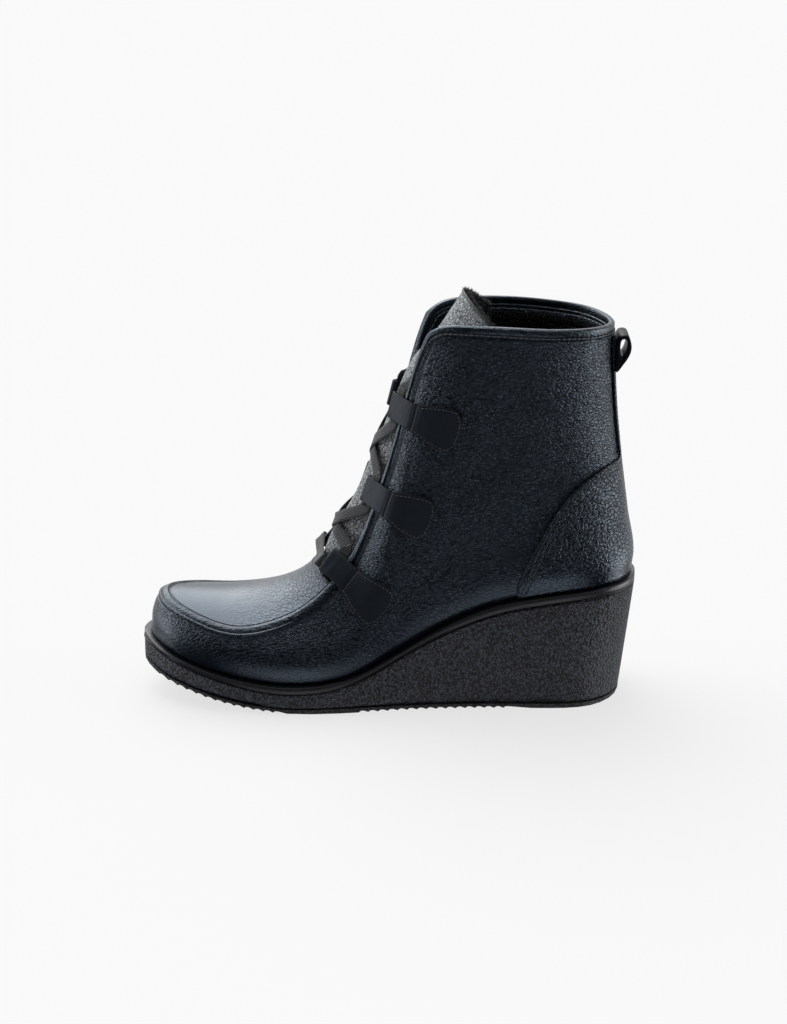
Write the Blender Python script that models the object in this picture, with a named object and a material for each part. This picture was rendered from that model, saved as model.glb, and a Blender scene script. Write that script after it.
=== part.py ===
"""Wedge ankle boot for the left foot, standing empty on its sole.

The toe points to -X, the heel to +X and the outer (lateral) side to -Y. Z is up from the floor.
The origin is on the floor, under the middle of the heel seat.
"""
import bpy
from math import acos, cos, pi, radians, sin
from mathutils import Vector
from mathutils.bvhtree import BVHTree

for item in list(bpy.data.objects):
    bpy.data.objects.remove(item, do_unlink=True)

# Driving sizes of the sole, in metres
SOLE_LENGTH = 0.257
BALL_HALF_WIDTH = 0.045
SEAT_HEIGHT = 0.0645
TOE_SPRING = 0.0165
OUTSOLE_THICK = 0.0024
OUTSOLE_LIP = 0.0005
TREAD_PITCH = 0.005
TREAD_DEPTH = 0.0009
WEDGE_TAPER = 0.0075
WEDGE_FLARE = 0.0016
WEDGE_CHAMFER = 0.0006
RAND_HEIGHT = 0.0045
RAND_GROOVE = 0.0008
INSOLE_THICK = 0.003

# Driving sizes of the upper
BOOT_HEIGHT = 0.202
WELT_LEDGE = 0.0032
WALL = 0.0022
BAND_WIDTH = 0.0055
BAND_RISE = 0.0009
BAND_STEP = 0.0004
APRON_DOME = 0.0078
APRON_BOW = 0.008
MEDIAL_RISE = 0.0024
TONGUE_THICK = 0.004
TONGUE_RISE = 0.004
COUNTER_THICK = 0.0011
BACKSTAY_WIDTH = 0.0152

# Driving sizes of the loops and the lace
TAB_LENGTH = 0.025
TAB_HALF = 0.0108
TAB_START = 0.0046
STRAP_HALF = 0.0067
STRAP_REACH = 0.0104
STRAP_THICK = 0.001
LOOP_GAP = 0.0018
LACE_WIDTH = 0.0068
LACE_THICK = 0.0009
BAR_DROP = 0.0025
TUCK_RISE = 0.0075
TUCK_DEPTH = 0.0045
PULL_WIDTH = 0.018
PULL_LENGTH = 0.0195
PULL_DEPTH = 0.0082
PULL_THICK = 0.0021

# Clearance between neighbouring pieces, and between curved faceted ones
GAP = 0.0003
CURVED_GAP = 1.6 * GAP
STRAP_GAP = 1.5 * GAP

LATERAL = -1.0
MEDIAL = 1.0
SIDES = (("lateral", LATERAL), ("medial", MEDIAL))

# The heel seat's middle, as a share of the sole from the toe, is the origin
REST_SHARE = 0.872
# Toe spring ends here, and the forefoot rests flat behind it
SPRING_SHARE = 0.345

# The tread's teeth stand on these stretches, and the flat spots lie between and behind them
TREAD_RUNS = ((0.035, 0.300), (0.440, 0.760))

# Sole outline and side lines: along is a share of SOLE_LENGTH from the toe,
# lateral and medial are shares of BALL_HALF_WIDTH, welt is a share of SEAT_HEIGHT,
# rand is a share of RAND_HEIGHT
SOLE_COLUMNS = ("along", "lateral", "medial", "welt", "rand")
SOLE_ROWS = (
    (0.000, 0.000, 0.000, 0.486, 0.70),
    (0.020, 0.350, 0.420, 0.468, 0.70),
    (0.050, 0.570, 0.650, 0.428, 0.70),
    (0.100, 0.745, 0.820, 0.362, 0.72),
    (0.150, 0.862, 0.915, 0.312, 0.78),
    (0.210, 0.945, 0.955, 0.266, 0.88),
    (0.300, 1.000, 0.935, 0.232, 0.98),
    (0.380, 0.965, 0.825, 0.247, 0.92),
    (0.440, 0.910, 0.735, 0.306, 0.80),
    (0.480, 0.875, 0.685, 0.388, 0.74),
    (0.540, 0.825, 0.635, 0.530, 0.76),
    (0.600, 0.795, 0.622, 0.668, 0.86),
    (0.660, 0.772, 0.640, 0.782, 0.96),
    (0.720, 0.765, 0.668, 0.866, 1.00),
    (0.800, 0.772, 0.700, 0.930, 1.00),
    (0.880, 0.764, 0.700, 0.975, 1.00),
    (0.940, 0.672, 0.630, 0.996, 1.00),
    (0.980, 0.450, 0.425, 1.000, 1.00),
    (1.000, 0.000, 0.000, 1.000, 1.00),
)

# Top edge of the upper's wall, from the toe seam over the throat edge to the back of the collar:
# column counts the wall's columns, feather is the share of the half outline below it,
# along is a share of SOLE_LENGTH, half of BALL_HALF_WIDTH and height of BOOT_HEIGHT
EDGE_COLUMNS = ("column", "feather", "along", "half", "height")
EDGE_ROWS = (
    (0, 0.000, 0.052, 0.000, 0.262),
    (2, 0.062, 0.067, 0.267, 0.2500),
    (4, 0.124, 0.109, 0.489, 0.2320),
    (7, 0.218, 0.200, 0.716, 0.2125),
    (10, 0.311, 0.303, 0.680, 0.2440),
    (13, 0.405, 0.383, 0.573, 0.3190),
    (16, 0.437, 0.4455, 0.467, 0.4400),
    (19, 0.468, 0.5065, 0.424, 0.6630),
    (22, 0.496, 0.5535, 0.430, 0.8900),
    (23, 0.505, 0.5650, 0.455, 0.9360),
    (24, 0.514, 0.5770, 0.505, 0.9730),
    (25, 0.528, 0.5980, 0.575, 0.9930),
    (27, 0.570, 0.6560, 0.715, 1.0010),
    (29, 0.621, 0.7150, 0.765, 1.0000),
    (33, 0.728, 0.8180, 0.745, 0.9920),
    (37, 0.843, 0.9010, 0.530, 0.9850),
    (40, 0.937, 0.9370, 0.215, 0.9790),
    (42, 1.000, 0.9435, 0.000, 0.9775),
)
COLUMNS = EDGE_ROWS[-1][0]
THROAT_COLUMN = 13
COUNTER_FRONT = 33
BODY_ROWS = 8
APRON_STEPS = 8
SOLE_STEPS = 46

# How each column of the wall leaves the welt and reaches the top edge, as shares of its chord
BEND_COLUMNS = ("column", "low_out", "low_up", "high_out", "high_up")
BEND_ROWS = (
    (0, 0.03, 0.50, 0.28, 0.04),
    (3, 0.06, 0.46, 0.27, 0.00),
    (7, 0.09, 0.42, 0.24, -0.12),
    (13, 0.05, 0.34, 0.19, -0.27),
    (18, 0.03, 0.32, 0.12, -0.24),
    (24, 0.006, 0.30, 0.050, -0.36),
    (30, 0.01, 0.27, -0.016, -0.36),
    (36, 0.024, 0.25, -0.030, -0.40),
    (42, 0.018, 0.20, -0.042, -0.46),
)

# Top line of the heel counter: along in SOLE_LENGTH, height in BOOT_HEIGHT
COUNTER_COLUMNS = ("along", "height")
COUNTER_ROWS = (
    (0.740, 0.270),
    (0.767, 0.340),
    (0.784, 0.401),
    (0.802, 0.455),
    (0.829, 0.515),
    (0.864, 0.571),
    (0.916, 0.616),
    (0.990, 0.630),
)

# Front line of the tongue at its middle: along in SOLE_LENGTH, height in BOOT_HEIGHT,
# half in BALL_HALF_WIDTH, sweep is how far its sides fall back, in BALL_HALF_WIDTH
TONGUE_COLUMNS = ("step", "along", "height", "half", "sweep")
TONGUE_ROWS = (
    (0, 0.333, 0.278, 0.42, 0.20),
    (1, 0.349, 0.300, 0.44, 0.28),
    (2, 0.361, 0.340, 0.46, 0.40),
    (4, 0.380, 0.412, 0.50, 0.56),
    (7, 0.429, 0.518, 0.53, 0.60),
    (9, 0.460, 0.610, 0.54, 0.56),
    (12, 0.508, 0.765, 0.54, 0.40),
    (14, 0.542, 0.872, 0.55, 0.34),
    (16, 0.588, 0.940, 0.56, 0.38),
    (18, 0.646, 1.056, 0.56, 0.42),
)

# Outline of a lace tab: share of TAB_LENGTH behind the strap, and shares of TAB_HALF
TAB_COLUMNS = ("share", "upper", "lower")
TAB_ROWS = (
    (0.00, 0.64, 0.64),
    (0.15, 0.72, 0.74),
    (0.35, 0.86, 0.92),
    (0.55, 0.95, 1.02),
    (0.75, 0.99, 1.09),
    (0.88, 0.90, 1.00),
    (0.96, 0.64, 0.72),
    (1.00, 0.34, 0.34),
)
# Where the bar and each pair of lace loops sit on the throat edge, in BOOT_HEIGHT
BAR_HEIGHT = 0.360
LOOP_HEIGHTS = (("low", 0.352), ("mid", 0.545), ("top", 0.765))
# Where the lace runs in a strap, as a share of STRAP_REACH ahead of the throat edge
CHANNEL_SHARE = 0.43
# How far the pull loop's foot and crown are up the back of the boot, in BOOT_HEIGHT
PULL_FOOT = 0.852
PULL_CROWN = 0.925

# Colours of the pieces
LEATHER = (0.013, 0.016, 0.021)
SMOOTH_LEATHER = (0.010, 0.012, 0.015)
RUBBER = (0.030, 0.032, 0.037)
FLEECE = (0.006, 0.006, 0.007)
LACE_BLACK = (0.012, 0.013, 0.016)


def flow(columns, rows, name, at):
    """Value of a table's column at a place along its first column, as a smooth curve."""
    value_index = columns.index(name)
    xs = [row[0] for row in rows]
    ys = [row[value_index] for row in rows]
    at = min(max(at, xs[0]), xs[-1])
    slopes = [0.0] * len(xs)
    for i in range(len(xs) - 1):
        slopes[i] = (ys[i + 1] - ys[i]) / (xs[i + 1] - xs[i])
    tangents = []
    for i in range(len(xs)):
        if i == 0:
            tangents.append(slopes[0])
        elif i == len(xs) - 1:
            tangents.append(slopes[-2])
        else:
            left = xs[i] - xs[i - 1]
            right = xs[i + 1] - xs[i]
            tangents.append((slopes[i - 1] * right + slopes[i] * left) / (left + right))
    i = 0
    while i < len(xs) - 2 and at > xs[i + 1]:
        i += 1
    width = xs[i + 1] - xs[i]
    t = (at - xs[i]) / width
    return (
        ys[i] * (1 + 2 * t) * (1 - t) ** 2
        + tangents[i] * width * t * (1 - t) ** 2
        + ys[i + 1] * (3 - 2 * t) * t * t
        + tangents[i + 1] * width * t * t * (t - 1)
    )


def by_turn(rows):
    """The same table with its first column as an angle, which keeps round ends round."""
    return tuple((acos(1.0 - 2.0 * row[0]),) + row[1:] for row in rows)


SOLE_TURNS = by_turn(SOLE_ROWS)


def sole_value(name, share):
    turn = acos(min(max(1.0 - 2.0 * share, -1.0), 1.0))
    return flow(SOLE_COLUMNS, SOLE_TURNS, name, turn)


def place(share):
    """X of a share of the sole, counted from the toe."""
    return (share - REST_SHARE) * SOLE_LENGTH


def half_width(side, share):
    name = "lateral" if side == LATERAL else "medial"
    return sole_value(name, share) * BALL_HALF_WIDTH


def welt_height(share):
    return sole_value("welt", share) * SEAT_HEIGHT


def rand_foot(share):
    return welt_height(share) - sole_value("rand", share) * RAND_HEIGHT


def floor_line(share):
    rise = max(0.0, 1.0 - share / SPRING_SHARE)
    return TOE_SPRING * rise * rise


def ramp(value, first, last):
    """Rises smoothly from 0 to 1 while value goes from first to last."""
    t = min(max((value - first) / (last - first), 0.0), 1.0)
    return t * t * (3.0 - 2.0 * t)


def lean(share, height):
    """1 at the floor, 0 at the top of the wedge."""
    top = rand_foot(share)
    return min(max((top - height) / top, 0.0), 1.0)


def sole_point(share, z, inset=0.0):
    """X, lateral and medial half widths and Z on the sole's side, moved in by inset."""
    x = place(share) - WEDGE_TAPER * ramp(share, 0.70, 1.0) * lean(share, z)
    flare = WEDGE_FLARE * ramp(share, 0.28, 0.46) * (1.0 - ramp(share, 0.90, 1.0)) * lean(share, z)
    lateral = max(half_width(LATERAL, share) + flare - inset, 0.0)
    medial = max(half_width(MEDIAL, share) + flare - inset, 0.0)
    return x, lateral, medial, z


def new_object(name, points, faces, color, roughness):
    mesh = bpy.data.meshes.new(name)
    mesh.from_pydata([tuple(p) for p in points], [], faces)
    mesh.validate()
    mesh.update()
    mesh.shade_smooth()
    mesh.set_sharp_from_angle(angle=radians(40.0))
    item = bpy.data.objects.new(name, mesh)
    bpy.context.scene.collection.objects.link(item)
    material = bpy.data.materials.new(name)
    material.use_nodes = True
    shader = material.node_tree.nodes["Principled BSDF"]
    shader.inputs["Base Color"].default_value = (color[0], color[1], color[2], 1.0)
    shader.inputs["Roughness"].default_value = roughness
    shader.inputs["Metallic"].default_value = 0.0
    mesh.materials.append(material)
    return item


def stations(count):
    """Shares of the sole, closer together at the round toe and heel."""
    return [(1.0 - cos(pi * i / count)) / 2.0 for i in range(count + 1)]


def plate(name, shares, rings, color, roughness):
    """A solid between the first and last ring: each ring gives x, half widths and z at a share."""
    points = []
    count = len(shares)
    index = []
    for ring in rings:
        row = []
        for i, share in enumerate(shares):
            x, lateral, medial, z = ring(share)
            ends = i in (0, count - 1)
            row.append(len(points))
            points.append((x, 0.0 if ends else -lateral, z))
        for i in range(count - 2, 0, -1):
            x, lateral, medial, z = ring(shares[i])
            row.append(len(points))
            points.append((x, medial, z))
        index.append(row)
    faces = []
    around = 2 * count - 2
    for low, high in zip(index, index[1:]):
        for i in range(around):
            j = (i + 1) % around
            faces.append((low[i], low[j], high[j], high[i]))
    for row, upward in ((index[0], False), (index[-1], True)):
        for i in range(count - 1):
            a = row[i]
            b = row[i + 1]
            c = row[(around - i - 1) % around]
            d = row[(around - i) % around]
            face = [a, b, c, d]
            face = [v for n, v in enumerate(face) if v not in face[:n]]
            faces.append(tuple(face) if upward else tuple(reversed(face)))
    return new_object(name, points, faces, color, roughness)


def tread_shares():
    """Shares of the sole with two more at each tooth of the tread's edge."""
    pitch = TREAD_PITCH / SOLE_LENGTH
    shares = {round(s, 6): 0.0 for s in stations(30)}
    for first, last in TREAD_RUNS:
        for i in range(int((last - first) / pitch)):
            start = first + i * pitch
            for old in [s for s in shares if start - 0.2 * pitch < s < start + pitch and 0.0 < s < 1.0]:
                del shares[old]
            shares[round(start, 6)] = 0.0
            shares[round(start + pitch * 0.25, 6)] = 1.0
            shares[round(start + pitch * 0.55, 6)] = 1.0
    return shares


def make_outsole():
    bites = tread_shares()

    def bottom(share):
        x, lateral, medial, z = sole_point(share, floor_line(share), OUTSOLE_LIP)
        return x, lateral, medial, z + TREAD_DEPTH * bites[share]

    def middle(share):
        return sole_point(share, floor_line(share) + TREAD_DEPTH * 1.2)

    def top(share):
        return sole_point(share, floor_line(share) + OUTSOLE_THICK)

    return plate("outsole", sorted(bites), (bottom, middle, top), RUBBER, 0.85)


def layer(low, high, level, inset):
    """A ring of the sole's side between two lines: level is 0 at the low one and 1 at the high one."""
    def at(share):
        bottom = low(share)
        return sole_point(share, bottom + (high(share) - bottom) * level, inset)
    return at


def make_wedge():
    def low(share):
        return floor_line(share) + OUTSOLE_THICK + GAP

    def high(share):
        return rand_foot(share) - GAP

    rings = [layer(low, high, level, 0.0) for level in (0.0, 0.3, 0.62, 0.9)]
    rings.append(layer(low, high, 1.0, WEDGE_CHAMFER))
    return plate("wedge", stations(SOLE_STEPS), rings, RUBBER, 0.9)


def make_rand():
    steps = ((0.0, RAND_GROOVE), (0.22, RAND_GROOVE), (0.36, 0.0), (0.8, 0.0), (1.0, RAND_GROOVE))
    rings = [layer(rand_foot, welt_height, level, inset) for level, inset in steps]
    return plate("rand", stations(SOLE_STEPS), rings, RUBBER, 0.6)


def inset_outline(side, inset):
    """One side of the sole's outline moved inward, as points with their outward directions."""
    edge = []
    for share in stations(160):
        edge.append(Vector((place(share), side * half_width(side, share), 0.0)))
    edge[0].y = 0.0
    edge[-1].y = 0.0
    moved = []
    for i, point in enumerate(edge):
        before = edge[i - 1] if i > 0 else Vector((edge[1].x, -edge[1].y, 0.0))
        after = edge[i + 1] if i < len(edge) - 1 else Vector((edge[-2].x, -edge[-2].y, 0.0))
        run = (after - before).normalized()
        out = Vector((run.y, -run.x, 0.0)) * (-side)
        moved.append((point - out * inset, out))
    return moved


def make_insole():
    inset = WELT_LEDGE + WALL + 4.0 * GAP
    outlines = {side: inset_outline(side, inset) for _, side in SIDES}
    front = outlines[LATERAL][0][0].x
    back = outlines[LATERAL][-1][0].x

    def reach(side, x):
        run = [point for point, _ in outlines[side]]
        for a, b in zip(run, run[1:]):
            if a.x <= x <= b.x:
                t = (x - a.x) / (b.x - a.x)
                return abs(a.y + (b.y - a.y) * t)
        return 0.0

    def ring(lift):
        def at(share):
            x = front + (back - front) * share
            z = welt_height(x / SOLE_LENGTH + REST_SHARE) + GAP + lift
            return x, reach(LATERAL, x), reach(MEDIAL, x), z
        return at

    return plate("insole", stations(30), (ring(0.0), ring(INSOLE_THICK)), FLEECE, 1.0)


def featherline(side):
    """The outline the upper stands on, with the path length at each of its points."""
    moved = inset_outline(side, WELT_LEDGE)
    lengths = [0.0]
    for (a, _), (b, _) in zip(moved, moved[1:]):
        lengths.append(lengths[-1] + (b - a).length)
    return moved, lengths


FEATHER = {side: featherline(side) for _, side in SIDES}


def foot_point(side, share):
    """A point of the featherline and its outward direction, at a share of the half outline."""
    inset, lengths = FEATHER[side]
    want = share * lengths[-1]
    i = 0
    while i < len(lengths) - 2 and lengths[i + 1] < want:
        i += 1
    t = (want - lengths[i]) / (lengths[i + 1] - lengths[i])
    point = inset[i][0].lerp(inset[i + 1][0], t)
    out = inset[i][1].lerp(inset[i + 1][1], t).normalized()
    along = point.x / SOLE_LENGTH + REST_SHARE
    point.z = welt_height(along) + CURVED_GAP
    return point, out


def mirrored(rows, half_index):
    """The table carried past both ends, so that its curve runs through them smoothly."""
    last = rows[-1][0]
    front = []
    back = []
    for row in rows[1:3]:
        front.append((-row[0],) + tuple(-v if i + 1 == half_index else v for i, v in enumerate(row[1:])))
    for row in rows[-3:-1]:
        turned = tuple(-v if i + 1 == half_index else v for i, v in enumerate(row[1:]))
        back.append((2 * last - row[0],) + turned)
    return tuple(reversed(front)) + rows + tuple(reversed(back))


EDGE_RUN = mirrored(EDGE_ROWS, EDGE_COLUMNS.index("half"))


def edge_point(side, column):
    along = flow(EDGE_COLUMNS, EDGE_RUN, "along", column)
    half = flow(EDGE_COLUMNS, EDGE_RUN, "half", column)
    height = flow(EDGE_COLUMNS, EDGE_RUN, "height", column)
    if side == MEDIAL and column < THROAT_COLUMN:
        rise = MEDIAL_RISE * sin(pi * column / THROAT_COLUMN)
    else:
        rise = 0.0
    return Vector((place(along), side * half * BALL_HALF_WIDTH, height * BOOT_HEIGHT + rise))


def column_path(side, column, steps=60):
    """Outer face of the wall from the welt to the top edge, as points and their path lengths."""
    feather = flow(EDGE_COLUMNS, EDGE_ROWS, "feather", column)
    low, out = foot_point(side, feather)
    if column == 0 or column == COLUMNS:
        low.y = 0.0
        out = Vector((-1.0 if column == 0 else 1.0, 0.0, 0.0))
    high = edge_point(side, column)
    chord = (high - low).length
    up = Vector((0.0, 0.0, 1.0))
    bend = {name: flow(BEND_COLUMNS, BEND_ROWS, name, column) * chord for name in BEND_COLUMNS[1:]}
    low_handle = low + out * bend["low_out"] + up * bend["low_up"]
    high_handle = high + out * bend["high_out"] + up * bend["high_up"]
    slant = (high.x - low.x) / max(high.z - low.z, 0.001)
    low_handle.x += bend["low_up"] * slant * 0.6
    high_handle.x += bend["high_up"] * slant * 0.9
    points = []
    lengths = [0.0]
    for i in range(steps + 1):
        t = i / steps
        s = 1.0 - t
        points.append(low * s ** 3 + low_handle * 3 * s * s * t + high_handle * 3 * s * t * t + high * t ** 3)
        if i:
            lengths.append(lengths[-1] + (points[-1] - points[-2]).length)
    return points, lengths


def on_path(path, want):
    points, lengths = path
    want = min(max(want, 0.0), lengths[-1])
    i = 0
    while i < len(lengths) - 2 and lengths[i + 1] < want:
        i += 1
    t = (want - lengths[i]) / (lengths[i + 1] - lengths[i])
    return points[i].lerp(points[i + 1], t)


def wall_columns():
    """The columns in order round the boot: lateral from the toe to the back, then medial forward."""
    order = [(LATERAL, c) for c in range(COLUMNS + 1)]
    order += [(MEDIAL, c) for c in range(COLUMNS - 1, 0, -1)]
    return order


def face_normals(points, faces):
    normals = [Vector((0.0, 0.0, 0.0)) for _ in points]
    for face in faces:
        a = points[face[0]]
        total = Vector((0.0, 0.0, 0.0))
        for j in range(1, len(face) - 1):
            total += (points[face[j]] - a).cross(points[face[j + 1]] - a)
        for v in face:
            normals[v] += total
    return [n.normalized() for n in normals]


def make_upper():
    order = wall_columns()
    around = len(order)
    paths = [column_path(side, column) for side, column in order]
    points = []
    rises = []
    rows = []
    for level in range(BODY_ROWS + 4):
        row = []
        for path in paths:
            length = path[1][-1]
            body = length - BAND_WIDTH
            if level <= BODY_ROWS:
                want = (body - BAND_STEP) * level / BODY_ROWS
                rise = 0.0
            elif level == BODY_ROWS + 1:
                want = body + BAND_STEP
                rise = BAND_RISE
            elif level == BODY_ROWS + 2:
                want = length - BAND_RISE
                rise = BAND_RISE
            else:
                want = length
                rise = 0.1 * BAND_RISE
            row.append(len(points))
            points.append(on_path(path, want))
            rises.append(rise)
        rows.append(row)
    faces = []
    for low, high in zip(rows, rows[1:]):
        for i in range(around):
            j = (i + 1) % around
            faces.append((low[i], low[j], high[j], high[i]))
    # The apron spans the top edge's two sides as far back as the throat
    top = rows[-1]
    widest = max(row[EDGE_COLUMNS.index("half")] for row in EDGE_ROWS[:6]) * BALL_HALF_WIDTH
    rungs = [[top[0]]]
    for column in range(1, THROAT_COLUMN + 1):
        left = points[top[column]]
        right = points[top[around - column]]
        spread = (left - right).length / 2.0 / widest
        rung = [top[column]]
        for step in range(1, APRON_STEPS):
            v = step / APRON_STEPS
            arch = 1.0 - (2.0 * v - 1.0) ** 2
            point = left.lerp(right, v)
            point.z += APRON_DOME * arch * spread ** 1.6
            point.x -= APRON_BOW * arch * (column / THROAT_COLUMN) ** 3
            rung.append(len(points))
            points.append(point)
            rises.append(0.0)
        rung.append(top[around - column])
        rungs.append(rung)
    apron_faces = []
    for i in range(APRON_STEPS):
        apron_faces.append((rungs[0][0], rungs[1][i], rungs[1][i + 1]))
    for front, back in zip(rungs[1:], rungs[2:]):
        for i in range(APRON_STEPS):
            apron_faces.append((front[i], back[i], back[i + 1], front[i + 1]))
    faces += apron_faces
    normals = face_normals(points, faces)
    outer = [p + n * r for p, n, r in zip(points, normals, rises)]
    inner_rows = [rows[i] for i in range(BODY_ROWS + 1)] + [top]
    used = sorted({v for row in inner_rows for v in row} | {v for rung in rungs for v in rung})
    lookup = {v: len(points) + n for n, v in enumerate(used)}
    inner = []
    for v in used:
        inward = normals[v].copy()
        if v in rows[0]:
            inward.z = 0.0
            inward.normalize()
        inner.append(points[v] - inward * WALL)
    for low, high in zip(inner_rows, inner_rows[1:]):
        for i in range(around):
            j = (i + 1) % around
            faces.append((lookup[low[i]], lookup[high[i]], lookup[high[j]], lookup[low[j]]))
    for face in apron_faces:
        faces.append(tuple(lookup[v] for v in reversed(face)))
    for i in range(around):
        j = (i + 1) % around
        faces.append((rows[0][j], rows[0][i], lookup[rows[0][i]], lookup[rows[0][j]]))
    rim = [top[i] for i in range(THROAT_COLUMN, around - THROAT_COLUMN + 1)]
    rim += rungs[-1][::-1][1:]
    for a, b in zip(rim, rim[1:]):
        faces.append((a, b, lookup[b], lookup[a]))
    return new_object("upper", outer + inner, faces, LEATHER, 0.42)


def make_tongue():
    steps = TONGUE_ROWS[-1][0]
    across = 8
    faces = []
    front = []
    for step in range(steps + 1):
        value = {n: flow(TONGUE_COLUMNS, TONGUE_ROWS, n, step) for n in TONGUE_COLUMNS[1:]}
        after = min(step + 0.5, steps)
        before = max(step - 0.5, 0)
        run_x = (flow(TONGUE_COLUMNS, TONGUE_ROWS, "along", after)
                 - flow(TONGUE_COLUMNS, TONGUE_ROWS, "along", before)) * SOLE_LENGTH
        run_z = (flow(TONGUE_COLUMNS, TONGUE_ROWS, "height", after)
                 - flow(TONGUE_COLUMNS, TONGUE_ROWS, "height", before)) * BOOT_HEIGHT
        run = Vector((run_x, 0.0, run_z)).normalized()
        inward = Vector((run.z, 0.0, -run.x))
        drop = max(0.0, step - (steps - 5)) / 5.0
        for i in range(across + 1):
            v = 2.0 * i / across - 1.0
            middle = Vector((place(value["along"]), 0.0, value["height"] * BOOT_HEIGHT))
            point = middle + inward * value["sweep"] * BALL_HALF_WIDTH * v * v
            point.y = v * value["half"] * BALL_HALF_WIDTH
            point -= run * TONGUE_RISE * drop * drop * v * v
            front.append(point)
    width = across + 1
    for step in range(steps):
        for i in range(across):
            a = step * width + i
            faces.append((a, a + width, a + width + 1, a + 1))
    normals = face_normals(front, faces)
    count = len(front)
    back = [p - n * TONGUE_THICK for p, n in zip(front, normals)]
    faces += [tuple(count + v for v in reversed(face)) for face in faces]
    border = [i for i in range(width)]
    border += [step * width + across for step in range(1, steps + 1)]
    border += [steps * width + i for i in range(across - 1, -1, -1)]
    border += [step * width for step in range(steps - 1, 0, -1)]
    for n, a in enumerate(border):
        b = border[(n + 1) % len(border)]
        faces.append((a, b, count + b, count + a))
    return new_object("tongue", front + back, faces, LEATHER, 0.5)


def shell(name, rows, low, high, color, roughness):
    """A solid sheet on a grid of points, from one height above the grid to another."""
    points = [p for row in rows for p in row]
    width = len(rows[0])
    faces = []
    for r in range(len(rows) - 1):
        for c in range(width - 1):
            a = r * width + c
            faces.append((a, a + 1, a + width + 1, a + width))
    normals = face_normals(points, faces)
    count = len(points)
    top = [p + n * high for p, n in zip(points, normals)]
    under = [p + n * low for p, n in zip(points, normals)]
    faces += [tuple(count + v for v in reversed(face)) for face in faces]
    border = list(range(width))
    border += [r * width + width - 1 for r in range(1, len(rows))]
    border += [(len(rows) - 1) * width + c for c in range(width - 2, -1, -1)]
    border += [r * width for r in range(len(rows) - 2, 0, -1)]
    for n, a in enumerate(border):
        b = border[(n + 1) % len(border)]
        faces.append((b, a, count + a, count + b))
    return new_object(name, top + under, faces, color, roughness)


def seam_length(path):
    """Length along a column at which it meets the counter's top line."""
    points, lengths = path
    for point, length in zip(points, lengths):
        if length < BAND_WIDTH:
            continue
        along = point.x / SOLE_LENGTH + REST_SHARE
        if point.z >= flow(COUNTER_COLUMNS, COUNTER_ROWS, "height", along) * BOOT_HEIGHT:
            return length
    return lengths[-1]


def back_columns(first):
    """Columns round the heel, from the lateral side to the medial one."""
    order = [(LATERAL, c) for c in range(first, COLUMNS + 1)]
    return order + [(MEDIAL, c) for c in range(COLUMNS - 1, first - 1, -1)]


def overlay(name, rows, roughness):
    """A leather sheet laid on the wall."""
    return shell(name, rows, CURVED_GAP, CURVED_GAP + COUNTER_THICK, LEATHER, roughness)


def make_counter():
    paths = [column_path(side, column, 200) for side, column in back_columns(COUNTER_FRONT)]
    foot = 2.0 * GAP
    rows = []
    steps = 7
    for step in range(steps + 1):
        rows.append([on_path(path, foot + (seam_length(path) - foot) * step / steps) for path in paths])
    return overlay("counter", rows, 0.38)


def across_back(height, distance):
    """Point of the wall at a height, a distance to the lateral or medial side of its back line."""
    side = LATERAL if distance < 0.0 else MEDIAL
    left = abs(distance)
    column = COLUMNS
    here = at_height(side, column, height)
    while True:
        column -= 1
        ahead = at_height(side, column, height)
        run = (ahead - here).length
        if run >= left:
            return here.lerp(ahead, left / run)
        left -= run
        here = ahead


def at_height(side, column, height):
    """Point of a column at a height."""
    points, _ = column_path(side, column)
    for below, above in zip(points, points[1:]):
        if above.z >= height:
            t = (height - below.z) / (above.z - below.z)
            return below.lerp(above, t)
    return points[-1]


def make_backstay():
    """A strip of one width up the back line, from the counter to the collar's band."""
    back = column_path(LATERAL, COLUMNS, 200)
    low = on_path(back, seam_length(back) + 2.0 * GAP).z
    high = on_path(back, back[1][-1] - BAND_WIDTH - 2.0 * GAP).z
    rows = []
    steps = 8
    across = 6
    for step in range(steps + 1):
        height = low + (high - low) * step / steps
        rows.append([across_back(height, BACKSTAY_WIDTH * (i / across - 0.5)) for i in range(across + 1)])
    return overlay("backstay", rows, 0.4)


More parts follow.
